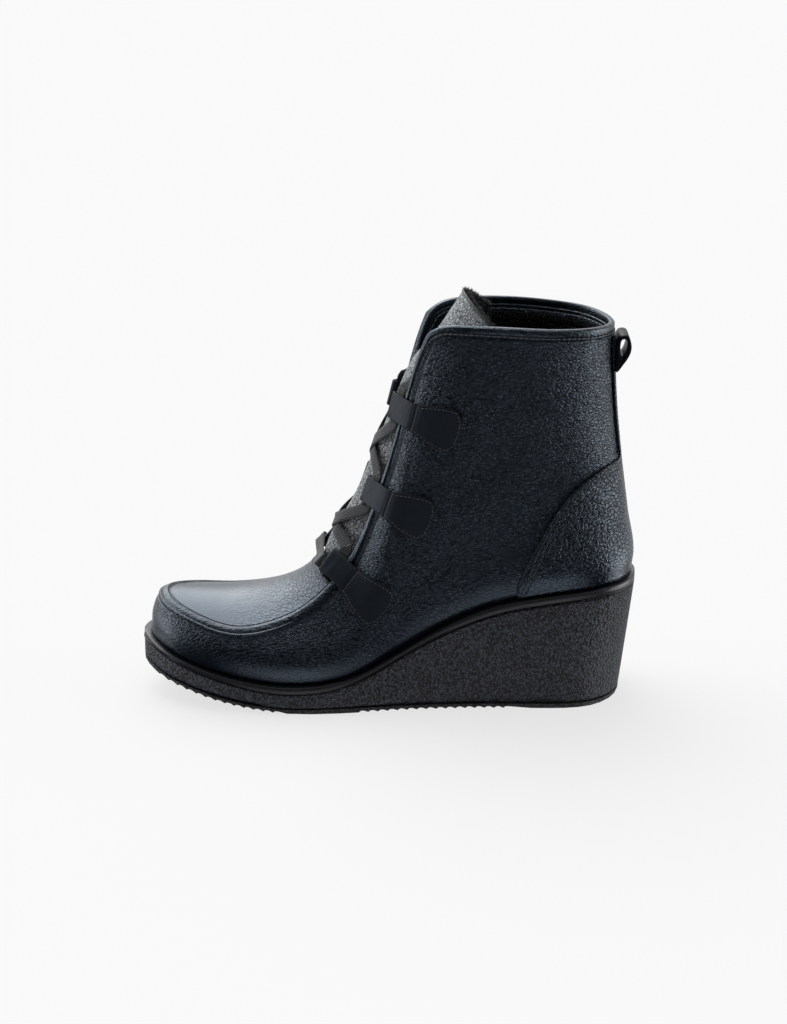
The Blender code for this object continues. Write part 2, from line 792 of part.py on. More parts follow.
def make_pull_loop():
    """A folded strap sewn to the backstay, standing off it as a narrow teardrop."""
    path = column_path(LATERAL, COLUMNS, 200)
    foot = min(path[0], key=lambda p: abs(p.z - PULL_FOOT * BOOT_HEIGHT))
    crown = min(path[0], key=lambda p: abs(p.z - PULL_CROWN * BOOT_HEIGHT))
    rise = (crown - foot).normalized()
    out = Vector((rise.z, 0.0, -rise.x))
    start = foot + out * (COUNTER_THICK + 2.0 * CURVED_GAP)
    hole_depth = PULL_DEPTH - 2.0 * PULL_THICK
    hole_start = 0.40 * PULL_LENGTH
    hole_length = PULL_LENGTH - hole_start - PULL_THICK
    outer = []
    inner = []
    steps = 20
    for i in range(steps):
        turn = 2.0 * pi * i / steps
        up = (1.0 - cos(turn)) / 2.0
        depth = 1.0 + abs(sin(turn)) ** 0.6 * (1.0 if sin(turn) > 0.0 else -1.0)
        swell = 0.20 + 0.80 * ramp(up, -0.25, 0.72)
        outer.append(start + rise * (PULL_LENGTH * up) + out * (PULL_DEPTH / 2.0 * swell * depth))
        hole_swell = 0.55 + 0.45 * ramp(up, -0.25, 0.72)
        hole_out = PULL_THICK + hole_depth / 2.0 * hole_swell * depth
        inner.append(start + rise * (hole_start + hole_length * up) + out * hole_out)
    points = []
    for y in (-PULL_WIDTH / 2.0, PULL_WIDTH / 2.0):
        for ring in (outer, inner):
            points += [Vector((p.x, y, p.z)) for p in ring]
    faces = []
    for i in range(steps):
        j = (i + 1) % steps
        faces.append((i, j, steps + j, steps + i))
        faces.append((2 * steps + j, 2 * steps + i, 3 * steps + i, 3 * steps + j))
        faces.append((j, i, 2 * steps + i, 2 * steps + j))
        faces.append((steps + i, steps + j, 3 * steps + j, 3 * steps + i))
    return new_object("pull_loop", points, faces, SMOOTH_LEATHER, 0.4)


def tree_of(item):
    mesh = item.data
    return BVHTree.FromPolygons([v.co for v in mesh.vertices], [tuple(p.vertices) for p in mesh.polygons])


def throat_frame(side, height):
    """Edge point of the throat at a height, with its upward, outward and forward directions."""
    column = float(THROAT_COLUMN)
    while edge_point(side, column).z < height and column < 24.0:
        column += 0.02
    point = edge_point(side, column)
    up = (edge_point(side, column + 0.4) - edge_point(side, column - 0.4)).normalized()
    path = column_path(side, column)
    behind = on_path(path, path[1][-1] - BAND_WIDTH) - point
    behind = (behind - up * behind.dot(up)).normalized()
    out = up.cross(behind) * side
    if out.y * side < 0.0:
        out.negate()
    return point, up, out.normalized(), -behind


def make_lace_loop(label, side, level, tree):
    """A fan-shaped tab on the quarter with its strap folded round the throat edge's front."""
    point, up, out, ahead = throat_frame(side, level * BOOT_HEIGHT)
    flat_up = Vector((up.x, 0.0, up.z)).normalized()
    back = Vector((flat_up.z, 0.0, -flat_up.x))
    if back.x < 0.0:
        back.negate()
    rows = []
    across = 4
    steps = 8
    seat = STRAP_THICK / 2.0 + STRAP_GAP
    for step in range(steps, -1, -1):
        share = step / steps
        upper_half = flow(TAB_COLUMNS, TAB_ROWS, "upper", share) * TAB_HALF
        lower_half = flow(TAB_COLUMNS, TAB_ROWS, "lower", share) * TAB_HALF
        row = []
        for i in range(across + 1):
            q = 2.0 * i / across - 1.0
            spot = point + back * (TAB_START + share * TAB_LENGTH)
            spot += flat_up * (q * (upper_half if q > 0.0 else lower_half))
            away = Vector((spot.x, side * 2.0 * BALL_HALF_WIDTH, spot.z))
            hit, normal, _, _ = tree.ray_cast(away, Vector((0.0, -side, 0.0)))
            row.append(hit + normal * (seat + BAND_RISE * max(0.0, 1.0 - share / 0.2)))
        rows.append(row)
    lift = seat + BAND_RISE
    turn = LOOP_GAP / 2.0 + STRAP_THICK / 2.0
    profile = [(-BAND_STEP / 2.0, 0.0), (STRAP_REACH - turn, 0.0)]
    for i in range(1, 5):
        angle = pi * i / 5.0
        profile.append((STRAP_REACH - turn + turn * sin(angle), turn * (cos(angle) - 1.0)))
    profile.append((STRAP_REACH - turn, -2.0 * turn))
    profile.append((BAND_RISE, -2.0 * turn))
    for forward, depth in profile:
        middle = point + ahead * forward + out * (lift + depth)
        rows.append([middle + up * (STRAP_HALF * (2.0 * i / across - 1.0)) for i in range(across + 1)])
    if side == MEDIAL:
        rows = [list(reversed(row)) for row in rows]
    half = STRAP_THICK / 2.0
    return shell("lace_loop_" + label, rows, -half, half, SMOOTH_LEATHER, 0.4)


def loop_channel(side, level):
    """Middle of a lace loop's channel and its directions."""
    point, up, out, ahead = throat_frame(side, level * BOOT_HEIGHT)
    lift = BAND_RISE + STRAP_GAP - LOOP_GAP / 2.0
    return point + ahead * (STRAP_REACH * CHANNEL_SHARE) + out * lift, up, out


def front_of(tree, height):
    """Point of the tongue's front face at a height, in the middle."""
    hit, _, _, _ = tree.ray_cast(Vector((-SOLE_LENGTH, 0.0, height)), Vector((1.0, 0.0, 0.0)))
    return hit


def strand_route(start_side, over_first, tongue_tree):
    """Points and outward directions of one strand, from its tucked end down to a low loop."""
    low, mid, top = [level for _, level in LOOP_HEIGHTS]
    reach = STRAP_HALF + 2.0 * GAP
    route = []
    middle, up, out = loop_channel(start_side, top)
    inside = middle + up * (reach + TUCK_RISE) - out * TUCK_DEPTH
    inside.x += TUCK_RISE / 2.0
    route.append((inside, (out + Vector((-0.4, 0.0, 0.9))).normalized()))
    route.append((middle + up * (reach + TUCK_RISE / 2.0) - out * (TUCK_DEPTH / 5.0), out))
    side = start_side
    for level, next_level, over in ((top, mid, over_first), (mid, low, not over_first), (low, None, False)):
        middle, up, out = loop_channel(side, level)
        stops = (1.3, 1.0, -1.0, -1.3) if next_level else (1.55, 1.0, -0.7)
        for along in stops:
            route.append((middle + up * (along * reach), out))
        if next_level:
            height = BOOT_HEIGHT * (level + next_level) / 2.0
            hit = front_of(tongue_tree, height)
            front = Vector((-0.93, 0.0, 0.36)).normalized()
            lift = LACE_THICK * (0.5 + (0.8 if over else 0.0)) + 2.5 * GAP
            route.append((hit + front * lift, front))
            side = -side
    return route


def bar_route(tongue_tree):
    """The lowest bar of the lace, from one low loop's front to the other's over the tongue."""
    level = LOOP_HEIGHTS[0][1]
    ends = {}
    for _, side in SIDES:
        point, up, out, ahead = throat_frame(side, level * BOOT_HEIGHT)
        start = point + ahead * (STRAP_REACH + 3.0 * GAP) - up * BAR_DROP + out * BAND_RISE
        ends[side] = [(start, out), (start + ahead * STRAP_THICK * 2.0, out)]
    hit = front_of(tongue_tree, BOOT_HEIGHT * BAR_HEIGHT)
    front = Vector((-0.86, 0.0, 0.50)).normalized()
    middle = [(hit + front * (LACE_THICK / 2.0 + 2.5 * GAP), front)]
    return ends[LATERAL] + middle + list(reversed(ends[MEDIAL]))


def smooth_route(route, pieces):
    """Points of a smooth curve through the route, each with its outward direction."""
    samples = []
    for i in range(len(route) - 1):
        a = route[max(i - 1, 0)][0]
        b = route[i][0]
        c = route[i + 1][0]
        d = route[min(i + 2, len(route) - 1)][0]
        span = (c - b).length
        start = (c - a).normalized() * span
        finish = (d - b).normalized() * span
        for k in range(pieces if i < len(route) - 2 else pieces + 1):
            t = k / pieces
            s = 1.0 - t
            point = b * (1 + 2 * t) * s * s + start * t * s * s
            point += c * (3 - 2 * t) * t * t + finish * t * t * (t - 1)
            out = route[i][1].lerp(route[i + 1][1], t).normalized()
            samples.append((point, out))
    return samples


# How far above and below a lace the tongue is looked for
PROBE = 0.02


def make_ribbon(name, route, pieces, tongue_tree):
    """A flat lace along a route, held clear of the tongue."""
    samples = smooth_route(route, pieces)
    half = LACE_WIDTH / 2.0
    thick = LACE_THICK / 2.0
    points = []
    for i, (point, out) in enumerate(samples):
        before = samples[max(i - 1, 0)][0]
        after = samples[min(i + 1, len(samples) - 1)][0]
        run = (after - before).normalized()
        out = (out - run * out.dot(run)).normalized()
        wide = run.cross(out)
        lift = 0.0
        for edge in (-1.0, -0.5, 0.0, 0.5, 1.0):
            spot = point + wide * (half * edge)
            hit, _, _, _ = tongue_tree.ray_cast(spot + out * PROBE, -out, 2.0 * PROBE)
            if hit is not None:
                lift = max(lift, thick + 2.0 * GAP - (spot - hit).dot(out))
        point = point + out * lift
        for across, depth in ((-1, -1), (1, -1), (1, 1), (-1, 1)):
            points.append(point + wide * (half * across) + out * (thick * depth))
    faces = [(0, 1, 2, 3)]
    last = len(points) - 4
    for start in range(0, last, 4):
        for k in range(4):
            a = start + k
            b = start + (k + 1) % 4
            faces.append((a, a + 4, b + 4, b))
    faces.append((last + 3, last + 2, last + 1, last))
    return new_object(name, points, faces, LACE_BLACK, 0.8)


def make_lace(tongue_tree):
    lace = make_ribbon("lace", strand_route(LATERAL, True, tongue_tree), 3, tongue_tree)
    other = make_ribbon("lace_other", strand_route(MEDIAL, False, tongue_tree), 3, tongue_tree)
    join = lace.modifiers.new("join", "BOOLEAN")
    join.operation = "UNION"
    join.object = other
    other.hide_render = True
    other.display_type = "WIRE"
    make_ribbon("lace_bar", bar_route(tongue_tree), 5, tongue_tree)
    return lace


make_outsole()
make_wedge()
make_rand()
make_insole()
upper = make_upper()
tongue = make_tongue()
make_counter()
make_backstay()
make_pull_loop()
upper_tree = tree_of(upper)
tongue_tree = tree_of(tongue)
for name, level in LOOP_HEIGHTS:
    for side_name, side in SIDES:
        make_lace_loop(side_name + "_" + name, side, level, upper_tree)
make_lace(tongue_tree)
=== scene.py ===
"""A black wedge ankle boot for the left foot, finished piece by piece as a maker would build it up.

The solid model gives every size and place. Toe at -X, heel at +X, outer side at -Y, floor at Z = 0.
"""
from math import cos, pi, radians, sin

import bmesh
import bpy
import numpy as np
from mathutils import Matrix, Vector, kdtree
from mathutils.bvhtree import BVHTree


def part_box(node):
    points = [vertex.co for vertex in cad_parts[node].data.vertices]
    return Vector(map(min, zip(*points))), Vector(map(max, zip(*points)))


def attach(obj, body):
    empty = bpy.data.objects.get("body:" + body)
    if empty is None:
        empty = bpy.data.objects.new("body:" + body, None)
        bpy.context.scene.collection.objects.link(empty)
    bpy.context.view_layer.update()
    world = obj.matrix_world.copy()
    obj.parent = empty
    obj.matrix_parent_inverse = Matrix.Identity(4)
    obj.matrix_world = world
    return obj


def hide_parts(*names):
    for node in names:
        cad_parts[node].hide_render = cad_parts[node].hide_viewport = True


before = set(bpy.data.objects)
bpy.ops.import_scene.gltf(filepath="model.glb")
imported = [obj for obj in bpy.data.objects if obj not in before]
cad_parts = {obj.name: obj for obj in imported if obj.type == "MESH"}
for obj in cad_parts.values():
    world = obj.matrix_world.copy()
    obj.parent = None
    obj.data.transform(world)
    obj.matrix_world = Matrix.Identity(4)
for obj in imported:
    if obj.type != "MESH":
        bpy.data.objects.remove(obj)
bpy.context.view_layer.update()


# Studio
# A white lit table under a big soft light above and behind, softer ones to both sides and high in
# front, and the room dark low in front. The camera has a long lens and looks down a little.
bpy.ops.object.camera_add(location=(-0.0931, -1.3315, 0.5276), rotation=(radians(72.0), 0.0, 0.0))
camera = bpy.context.object
camera.data.sensor_width = 36.0
camera.data.lens = 94.83
camera.data.clip_end = 50.0
bpy.context.scene.camera = camera
bpy.context.scene.view_settings.view_transform = "Standard"

bpy.ops.mesh.primitive_plane_add(size=24.0, location=(0.0, 0.0, 0.0))
floor = bpy.context.object
floor.name = "paper"
floor.visible_glossy = False
paper = bpy.data.materials.new("paper")
paper.use_nodes = True
paper_shader = paper.node_tree.nodes["Principled BSDF"]
paper_shader.inputs["Base Color"].default_value = (0.168, 0.168, 0.168, 1.0)
paper_shader.inputs["Roughness"].default_value = 1.0
paper_shader.inputs["Specular IOR Level"].default_value = 0.0
paper_shader.inputs["Emission Color"].default_value = (1.0, 1.0, 1.0, 1.0)
paper_shader.inputs["Emission Strength"].default_value = 0.715
floor.data.materials.append(paper)

world = bpy.data.worlds.new("room")
bpy.context.scene.world = world
world.use_nodes = True
room = world.node_tree
sky = room.nodes["Background"]
sky.inputs["Color"].default_value = (1.0, 1.0, 1.0, 1.0)
heading = room.nodes.new("ShaderNodeTexCoord").outputs["Generated"]


def soft_patch(toward, outer, inner, strength, total):
    """Adds a soft round light far off to the room: outer and inner are its half angles in degrees."""
    facing = room.nodes.new("ShaderNodeVectorMath")
    facing.operation = "DOT_PRODUCT"
    facing.inputs[1].default_value = Vector(toward).normalized()
    room.links.new(heading, facing.inputs[0])
    fall = room.nodes.new("ShaderNodeMapRange")
    fall.interpolation_type = "SMOOTHSTEP"
    fall.inputs["From Min"].default_value = cos(radians(outer))
    fall.inputs["From Max"].default_value = cos(radians(inner))
    fall.inputs["To Min"].default_value = 0.0
    fall.inputs["To Max"].default_value = strength
    room.links.new(facing.outputs["Value"], fall.inputs["Value"])
    add = room.nodes.new("ShaderNodeMath")
    add.operation = "ADD"
    if isinstance(total, float):
        add.inputs[0].default_value = total
    else:
        room.links.new(total, add.inputs[0])
    room.links.new(fall.outputs["Result"], add.inputs[1])
    return add.outputs[0]


light = soft_patch((-0.30, 0.58, 0.76), 42.0, 12.0, 4.1, 0.004)
light = soft_patch((0.0, 0.35, 1.0), 66.0, 20.0, 0.60, light)
light = soft_patch((0.0, 1.0, 0.05), 60.0, 20.0, 0.7, light)
light = soft_patch((1.0, 0.08, -0.10), 38.0, 8.0, 4.6, light)
light = soft_patch((-1.0, 0.15, 0.10), 38.0, 10.0, 3.2, light)
light = soft_patch((0.35, -0.60, 0.74), 18.0, 6.0, 1.5, light)
light = soft_patch((0.0, -0.66, -0.86), 32.0, 8.0, 1.3, light)
room.links.new(light, sky.inputs["Strength"])


# Upper: vamp, apron, quarters and shaft
# One wall of pebbled cowhide about 2 mm thick, pulled over the last and stretched smooth low down.
# Its edges are folded into a padded band that is stitched along its lower side.
def take(node, name, angle=22.0):
    """A copy of a solid as a new piece, with its doubles merged and its four-sided faces restored."""
    bpy.ops.object.select_all(action="DESELECT")
    piece = bpy.data.objects.new(name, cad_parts[node].data.copy())
    bpy.context.scene.collection.objects.link(piece)
    piece.data.name = name
    piece.data.materials.clear()
    piece.select_set(True)
    bpy.context.view_layer.objects.active = piece
    bpy.ops.object.mode_set(mode="EDIT")
    bpy.ops.mesh.select_all(action="SELECT")
    bpy.ops.mesh.remove_doubles(threshold=0.00001)
    bpy.ops.mesh.tris_convert_to_quads(face_threshold=radians(angle), shape_threshold=radians(60.0))
    bpy.ops.object.mode_set(mode="OBJECT")
    if piece.data.has_custom_normals:
        bpy.ops.mesh.customdata_custom_splitnormals_clear()
    return piece


def only(piece):
    bpy.ops.object.select_all(action="DESELECT")
    piece.select_set(True)
    bpy.context.view_layer.objects.active = piece


def smooth_over(piece, levels, angle=180.0):
    """Subdivides a piece and shades it smooth."""
    only(piece)
    rounding = piece.modifiers.new("rounding", "SUBSURF")
    rounding.levels = levels
    rounding.render_levels = levels
    bpy.ops.object.modifier_apply(modifier="rounding")
    if angle >= 180.0:
        bpy.ops.object.shade_smooth()
    else:
        bpy.ops.object.shade_smooth_by_angle(angle=radians(angle))


def crease_folds(piece, angle, strength):
    """Keeps the folds sharper than an angle from being rounded away."""
    mesh = bmesh.new()
    mesh.from_mesh(piece.data)
    layer = mesh.edges.layers.float.get("crease_edge") or mesh.edges.layers.float.new("crease_edge")
    for edge in mesh.edges:
        if len(edge.link_faces) == 2 and edge.calc_face_angle(0.0) > radians(angle):
            edge[layer] = strength
    mesh.to_mesh(piece.data)
    mesh.free()


def tree_of(piece, keep=None):
    """A search tree of a piece's faces, or of those that keep says yes to."""
    mesh = piece.data
    faces = [tuple(p.vertices) for p in mesh.polygons if keep is None or keep[p.index]]
    return BVHTree.FromPolygons([v.co for v in mesh.vertices], faces)


def paint(piece, name, value_at):
    """Stores a number at each point of a piece, for its material to read."""
    layer = piece.data.attributes.new(name, "FLOAT", "POINT")
    layer.data.foreach_set("value", [value_at(v.co) for v in piece.data.vertices])


def ease(value, first, last):
    t = min(max((value - first) / (last - first), 0.0), 1.0)
    return t * t * (3.0 - 2.0 * t)


def flow(rows, index, at):
    """Value of a table's column at a place along its first column, as a smooth curve."""
    xs = [row[0] for row in rows]
    ys = [row[index] for row in rows]
    slopes = [(ys[i + 1] - ys[i]) / (xs[i + 1] - xs[i]) for i in range(len(xs) - 1)]
    tangents = [slopes[0]]
    for i in range(1, len(xs) - 1):
        left = xs[i] - xs[i - 1]
        right = xs[i + 1] - xs[i]
        tangents.append((slopes[i - 1] * right + slopes[i] * left) / (left + right))
    tangents.append(slopes[-1])
    i = 0
    while i < len(xs) - 2 and at > xs[i + 1]:
        i += 1
    width = xs[i + 1] - xs[i]
    t = min(max((at - xs[i]) / width, 0.0), 1.0)
    s = 1.0 - t
    low = ys[i] * (1 + 2 * t) * s * s + tangents[i] * width * t * s * s
    return low + ys[i + 1] * (3 - 2 * t) * t * t - tangents[i + 1] * width * t * t * s


def new_material(name, color, roughness):
    material = bpy.data.materials.new(name)
    material.use_nodes = True
    shader = material.node_tree.nodes["Principled BSDF"]
    shader.inputs["Base Color"].default_value = color + (1.0,)
    shader.inputs["Roughness"].default_value = roughness
    return material, material.node_tree, shader


def add_node(tree, kind, **values):
    """A shader node with its sockets set: a key's underscores stand for the spaces of a socket's name."""
    node = tree.nodes.new(kind)
    for key, value in values.items():
        node.inputs[key.replace("_", " ")].default_value = value
    return node


def sum_of(tree, operation, first, second):
    """A Math node between two numbers or sockets. MULTIPLY_ADD adds one to their product."""
    node = tree.nodes.new("ShaderNodeMath")
    node.operation = operation
    if operation == "MULTIPLY_ADD":
        node.inputs[2].default_value = 1.0
    for slot, value in enumerate((first, second)):
        if isinstance(value, (int, float)):
            node.inputs[slot].default_value = value
        else:
            tree.links.new(value, node.inputs[slot])
    return node.outputs[0]


def read_paint(tree, name):
    stored = tree.nodes.new("ShaderNodeAttribute")
    stored.attribute_name = name
    return stored.outputs["Fac"]


def seam_profile(tree, name, points):
    """Height across a seam: points are (distance from the seam's edge, height), both in millimetres."""
    low = points[0][0]
    span = points[-1][0] - low
    share = tree.nodes.new("ShaderNodeMapRange")
    share.inputs["From Min"].default_value = low * 0.001
    share.inputs["From Max"].default_value = (low + span) * 0.001
    tree.links.new(read_paint(tree, name), share.inputs["Value"])
    curve = tree.nodes.new("ShaderNodeValToRGB")
    curve.color_ramp.interpolation = "EASE"
    stops = curve.color_ramp.elements
    while len(stops) < len(points):
        stops.new(0.5)
    for stop, (distance, height) in zip(stops, points):
        grey = 0.5 + height * 0.5
        stop.position = (distance - low) / span
        stop.color = (grey, grey, grey, 1.0)
    tree.links.new(share.outputs[0], curve.inputs["Fac"])
    return sum_of(tree, "MULTIPLY", sum_of(tree, "SUBTRACT", curve.outputs["Color"], 0.5), 0.002)


def leather(name, color, gloss, cell, depth, stretch=(1.0, 1.0, 1.0), calm=None, seam=None, loose=None):
    """Pebble-grained cowhide: rounded cells with fine creases between them, dyed and lightly waxed."""
    material, tree, shader = new_material(name, color, gloss)
    place = tree.nodes.new("ShaderNodeTexCoord").outputs["Object"]
    turn = add_node(tree, "ShaderNodeMapping", Scale=stretch)
    tree.links.new(place, turn.inputs["Vector"])
    wander = add_node(tree, "ShaderNodeTexNoise", Scale=0.5 / cell, Detail=3.0, Roughness=0.6)
    tree.links.new(turn.outputs[0], wander.inputs["Vector"])
    shift = tree.nodes.new("ShaderNodeVectorMath")
    shift.operation = "SCALE"
    shift.inputs["Scale"].default_value = cell * 0.9
    tree.links.new(wander.outputs["Color"], shift.inputs[0])
    moved = tree.nodes.new("ShaderNodeVectorMath")
    moved.operation = "ADD"
    tree.links.new(turn.outputs[0], moved.inputs[0])
    tree.links.new(shift.outputs[0], moved.inputs[1])
    cells = tree.nodes.new("ShaderNodeTexVoronoi")
    cells.feature = "SMOOTH_F1"
    cells.inputs["Scale"].default_value = 1.0 / cell
    cells.inputs["Smoothness"].default_value = 0.3
    tree.links.new(moved.outputs[0], cells.inputs["Vector"])
    borders = tree.nodes.new("ShaderNodeTexVoronoi")
    borders.feature = "DISTANCE_TO_EDGE"
    borders.inputs["Scale"].default_value = 0.64 / cell
    tree.links.new(moved.outputs[0], borders.inputs["Vector"])
    crease = tree.nodes.new("ShaderNodeMapRange")
    crease.interpolation_type = "SMOOTHSTEP"
    crease.inputs["From Max"].default_value = 0.16
    tree.links.new(borders.outputs["Distance"], crease.inputs["Value"])
    pores = add_node(tree, "ShaderNodeTexNoise", Scale=2.6 / cell, Detail=3.0, Roughness=0.65)
    tree.links.new(turn.outputs[0], pores.inputs["Vector"])
    rolls = add_node(tree, "ShaderNodeTexNoise", Scale=0.16 / cell, Detail=2.0)
    tree.links.new(turn.outputs[0], rolls.inputs["Vector"])
    height = sum_of(tree, "MULTIPLY", cells.outputs["Distance"], -0.9)
    height = sum_of(tree, "ADD", height, sum_of(tree, "MULTIPLY", crease.outputs[0], 0.55))
    height = sum_of(tree, "ADD", height, sum_of(tree, "MULTIPLY", pores.outputs["Fac"], 0.55))
    height = sum_of(tree, "ADD", height, sum_of(tree, "MULTIPLY", rolls.outputs["Fac"], 1.1))
    height = sum_of(tree, "MULTIPLY", height, depth)
    # Painted shade darkens the base colour in the creases, and painted highlight lightens the tops of the pebbles,
    # which are glossier too
    top = sum_of(tree, "SUBTRACT", 1.0, sum_of(tree, "MULTIPLY", cells.outputs["Distance"], 0.9))
    top = sum_of(tree, "MULTIPLY", top, crease.outputs[0])
    top = sum_of(tree, "SUBTRACT", top, 0.5)
    if calm is not None:
        alive = sum_of(tree, "SUBTRACT", 1.0, read_paint(tree, calm))
        height = sum_of(tree, "MULTIPLY", height, alive)
        top = sum_of(tree, "MULTIPLY", top, alive)
    painted_crease_shade_and_highlight = tree.nodes.new("ShaderNodeVectorMath")
    painted_crease_shade_and_highlight.operation = "SCALE"
    painted_crease_shade_and_highlight.inputs[0].default_value = color
    tree.links.new(sum_of(tree, "MAXIMUM", sum_of(tree, "MULTIPLY_ADD", top, 1.9), 0.08), painted_crease_shade_and_highlight.inputs["Scale"])
    tree.links.new(painted_crease_shade_and_highlight.outputs[0], shader.inputs["Base Color"])
    shine = tree.nodes.new("ShaderNodeMapRange")
    shine.inputs["From Min"].default_value = -0.4
    shine.inputs["From Max"].default_value = 0.4
    shine.inputs["To Min"].default_value = 0.30
    shine.inputs["To Max"].default_value = 0.95
    tree.links.new(top, shine.inputs["Value"])
    tree.links.new(shine.outputs[0], shader.inputs["Specular IOR Level"])
    if loose is not None:
        veins = tree.nodes.new("ShaderNodeTexVoronoi")
        veins.feature = "DISTANCE_TO_EDGE"
        veins.inputs["Scale"].default_value = 0.40 / cell
        tree.links.new(moved.outputs[0], veins.inputs["Vector"])
        vein = tree.nodes.new("ShaderNodeMapRange")
        vein.interpolation_type = "SMOOTHSTEP"
        vein.inputs["From Max"].default_value = 0.14
        tree.links.new(veins.outputs["Distance"], vein.inputs["Value"])
        slack = sum_of(tree, "MULTIPLY", vein.outputs[0], read_paint(tree, loose))
        height = sum_of(tree, "ADD", height, sum_of(tree, "MULTIPLY", slack, 0.00020))
    if seam is not None:
        height = sum_of(tree, "ADD", height, seam_profile(tree, *seam))
    bump = add_node(tree, "ShaderNodeBump", Strength=1.0, Distance=1.0)
    tree.links.new(height, bump.inputs["Height"])
    tree.links.new(bump.outputs[0], shader.inputs["Normal"])
    tree.links.new(bump.outputs[0], shader.inputs["Coat Normal"])
    wear = add_node(tree, "ShaderNodeTexNoise", Scale=55.0, Detail=4.0)
    tree.links.new(place, wear.inputs["Vector"])
    rough = tree.nodes.new("ShaderNodeMapRange")
    rough.inputs["From Min"].default_value = 0.3
    rough.inputs["From Max"].default_value = 0.7
    rough.inputs["To Min"].default_value = gloss - 0.05
    rough.inputs["To Max"].default_value = gloss + 0.07
    tree.links.new(wear.outputs["Fac"], rough.inputs["Value"])
    tree.links.new(rough.outputs[0], shader.inputs["Roughness"])
    shader.inputs["Specular Tint"].default_value = (0.60, 0.78, 1.0, 1.0)
    shader.inputs["Coat Weight"].default_value = 0.18
    shader.inputs["Coat Tint"].default_value = (0.90, 0.96, 1.0, 1.0)
    shader.inputs["Coat Roughness"].default_value = 0.25
    return material


def finish_piece(piece, material, slot, *nodes):
    """Dresses a piece and fixes it to the boot. Its slot is not used."""
    piece.data.materials.clear()
    piece.data.materials.append(material)
    if nodes:
        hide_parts(*nodes)
    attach(piece, "root")


# The top edge of the wall: column, share of the sole's length, half width and height, in shares
sole_length = 0.257
half_ball = 0.045
boot_height = 0.202
throat_column = 13
last_column = 42
edge_rows = (
    (-4, 0.109, -0.489, 0.2320), (-2, 0.067, -0.267, 0.2500),
    (0, 0.052, 0.000, 0.262), (2, 0.067, 0.267, 0.2500), (4, 0.109, 0.489, 0.2320),
    (7, 0.200, 0.716, 0.2125), (10, 0.303, 0.680, 0.2440), (13, 0.383, 0.573, 0.3190),
    (16, 0.4455, 0.467, 0.4400), (19, 0.5065, 0.424, 0.6630), (22, 0.5535, 0.430, 0.8900),
    (23, 0.5650, 0.455, 0.9360), (24, 0.5770, 0.505, 0.9730), (25, 0.5980, 0.575, 0.9930),
    (27, 0.6560, 0.715, 1.0010), (29, 0.7150, 0.765, 1.0000), (33, 0.8180, 0.745, 0.9920),
    (37, 0.9010, 0.530, 0.9850), (40, 0.9370, 0.215, 0.9790), (42, 0.9435, 0.000, 0.9775),
    (44, 0.9370, -0.215, 0.9790), (47, 0.9010, -0.530, 0.9850),
)


def along_x(share):
    return (share - 0.872) * sole_length


def edge_point(side, column):
    """A point of the top edge: side is -1 on the outer side and 1 on the inner side."""
    rise = 0.0024 * sin(pi * column / throat_column) if side > 0.0 and column < throat_column else 0.0
    return Vector((
        along_x(flow(edge_rows, 1, column)),
        side * flow(edge_rows, 2, column) * half_ball,
        flow(edge_rows, 3, column) * boot_height + rise,
    ))


edge_steps = 16
edge_line = [(-1.0, i / edge_steps) for i in range(last_column * edge_steps)]
edge_line += [(1.0, i / edge_steps) for i in range(last_column * edge_steps, 0, -1)]
edge_columns = [column for _, column in edge_line]
edge_points = [edge_point(side, column) for side, column in edge_line]
edge_count = len(edge_points)
edge_runs = [
    (edge_points[(i + 1) % edge_count] - edge_points[i - 1]).normalized() for i in range(edge_count)
]


def near_search(points):
    search = kdtree.KDTree(len(points))
    for i, point in enumerate(points):
        search.insert(point, i)
    search.balance()
    return search


edge_search = near_search(edge_points)


def edge_gap(point):
    """Distance from the top edge, counted below zero on the apron."""
    _, i, gap = edge_search.find(point)
    off = point - edge_points[i]
    side = off.dot(edge_runs[i])
    gap = max(gap * gap - side * side, 0.0) ** 0.5
    run = edge_runs[i]
    if edge_columns[i] <= throat_column + 0.5:
        outward = Vector((run.y, -run.x, 0.0)).normalized()
        if off.dot(outward) * 0.8 - off.z * 0.6 < 0.0:
            return -gap
    return gap


leather_color = (0.0026, 0.0041, 0.0074)
upper = take("upper", "pebbled_upper")
crease_folds(upper, 30.0, 0.85)
smooth_over(upper, 2)
rand_tree = tree_of(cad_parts["rand"])
rand_low, rand_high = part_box("rand")
welt_steps = 120
welt_line = []
for i in range(welt_steps + 1):
    x = rand_low.x + (rand_high.x - rand_low.x) * (0.002 + 0.996 * i / welt_steps)
    hit = rand_tree.ray_cast(Vector((x, 0.0, 0.5)), Vector((0.0, 0.0, -1.0)))[0]
    welt_line.append(hit.z if hit is not None else rand_low.z)


def above_welt(point):
    """Height above the rand's top at the same place along the boot."""
    share = (point.x - rand_low.x) / (rand_high.x - rand_low.x)
    share = min(max(share, 0.0), 1.0) * welt_steps
    low = min(int(share), welt_steps - 1)
    return point.z - (welt_line[low] + (welt_line[low + 1] - welt_line[low]) * (share - low))


def lasting(point):
    """1 where the leather is pulled tight over the last or folded flat, and 0 up the shaft."""
    tight = 0.80 * (1.0 - ease(above_welt(point), 0.004, 0.026))
    gap = edge_gap(point)
    if gap < 0.0:
        return max(tight, 0.92 - 0.55 * ease(point.x, -0.190, -0.135))
    return max(tight, 0.55 * (1.0 - ease(gap, 0.0050, 0.0062)))


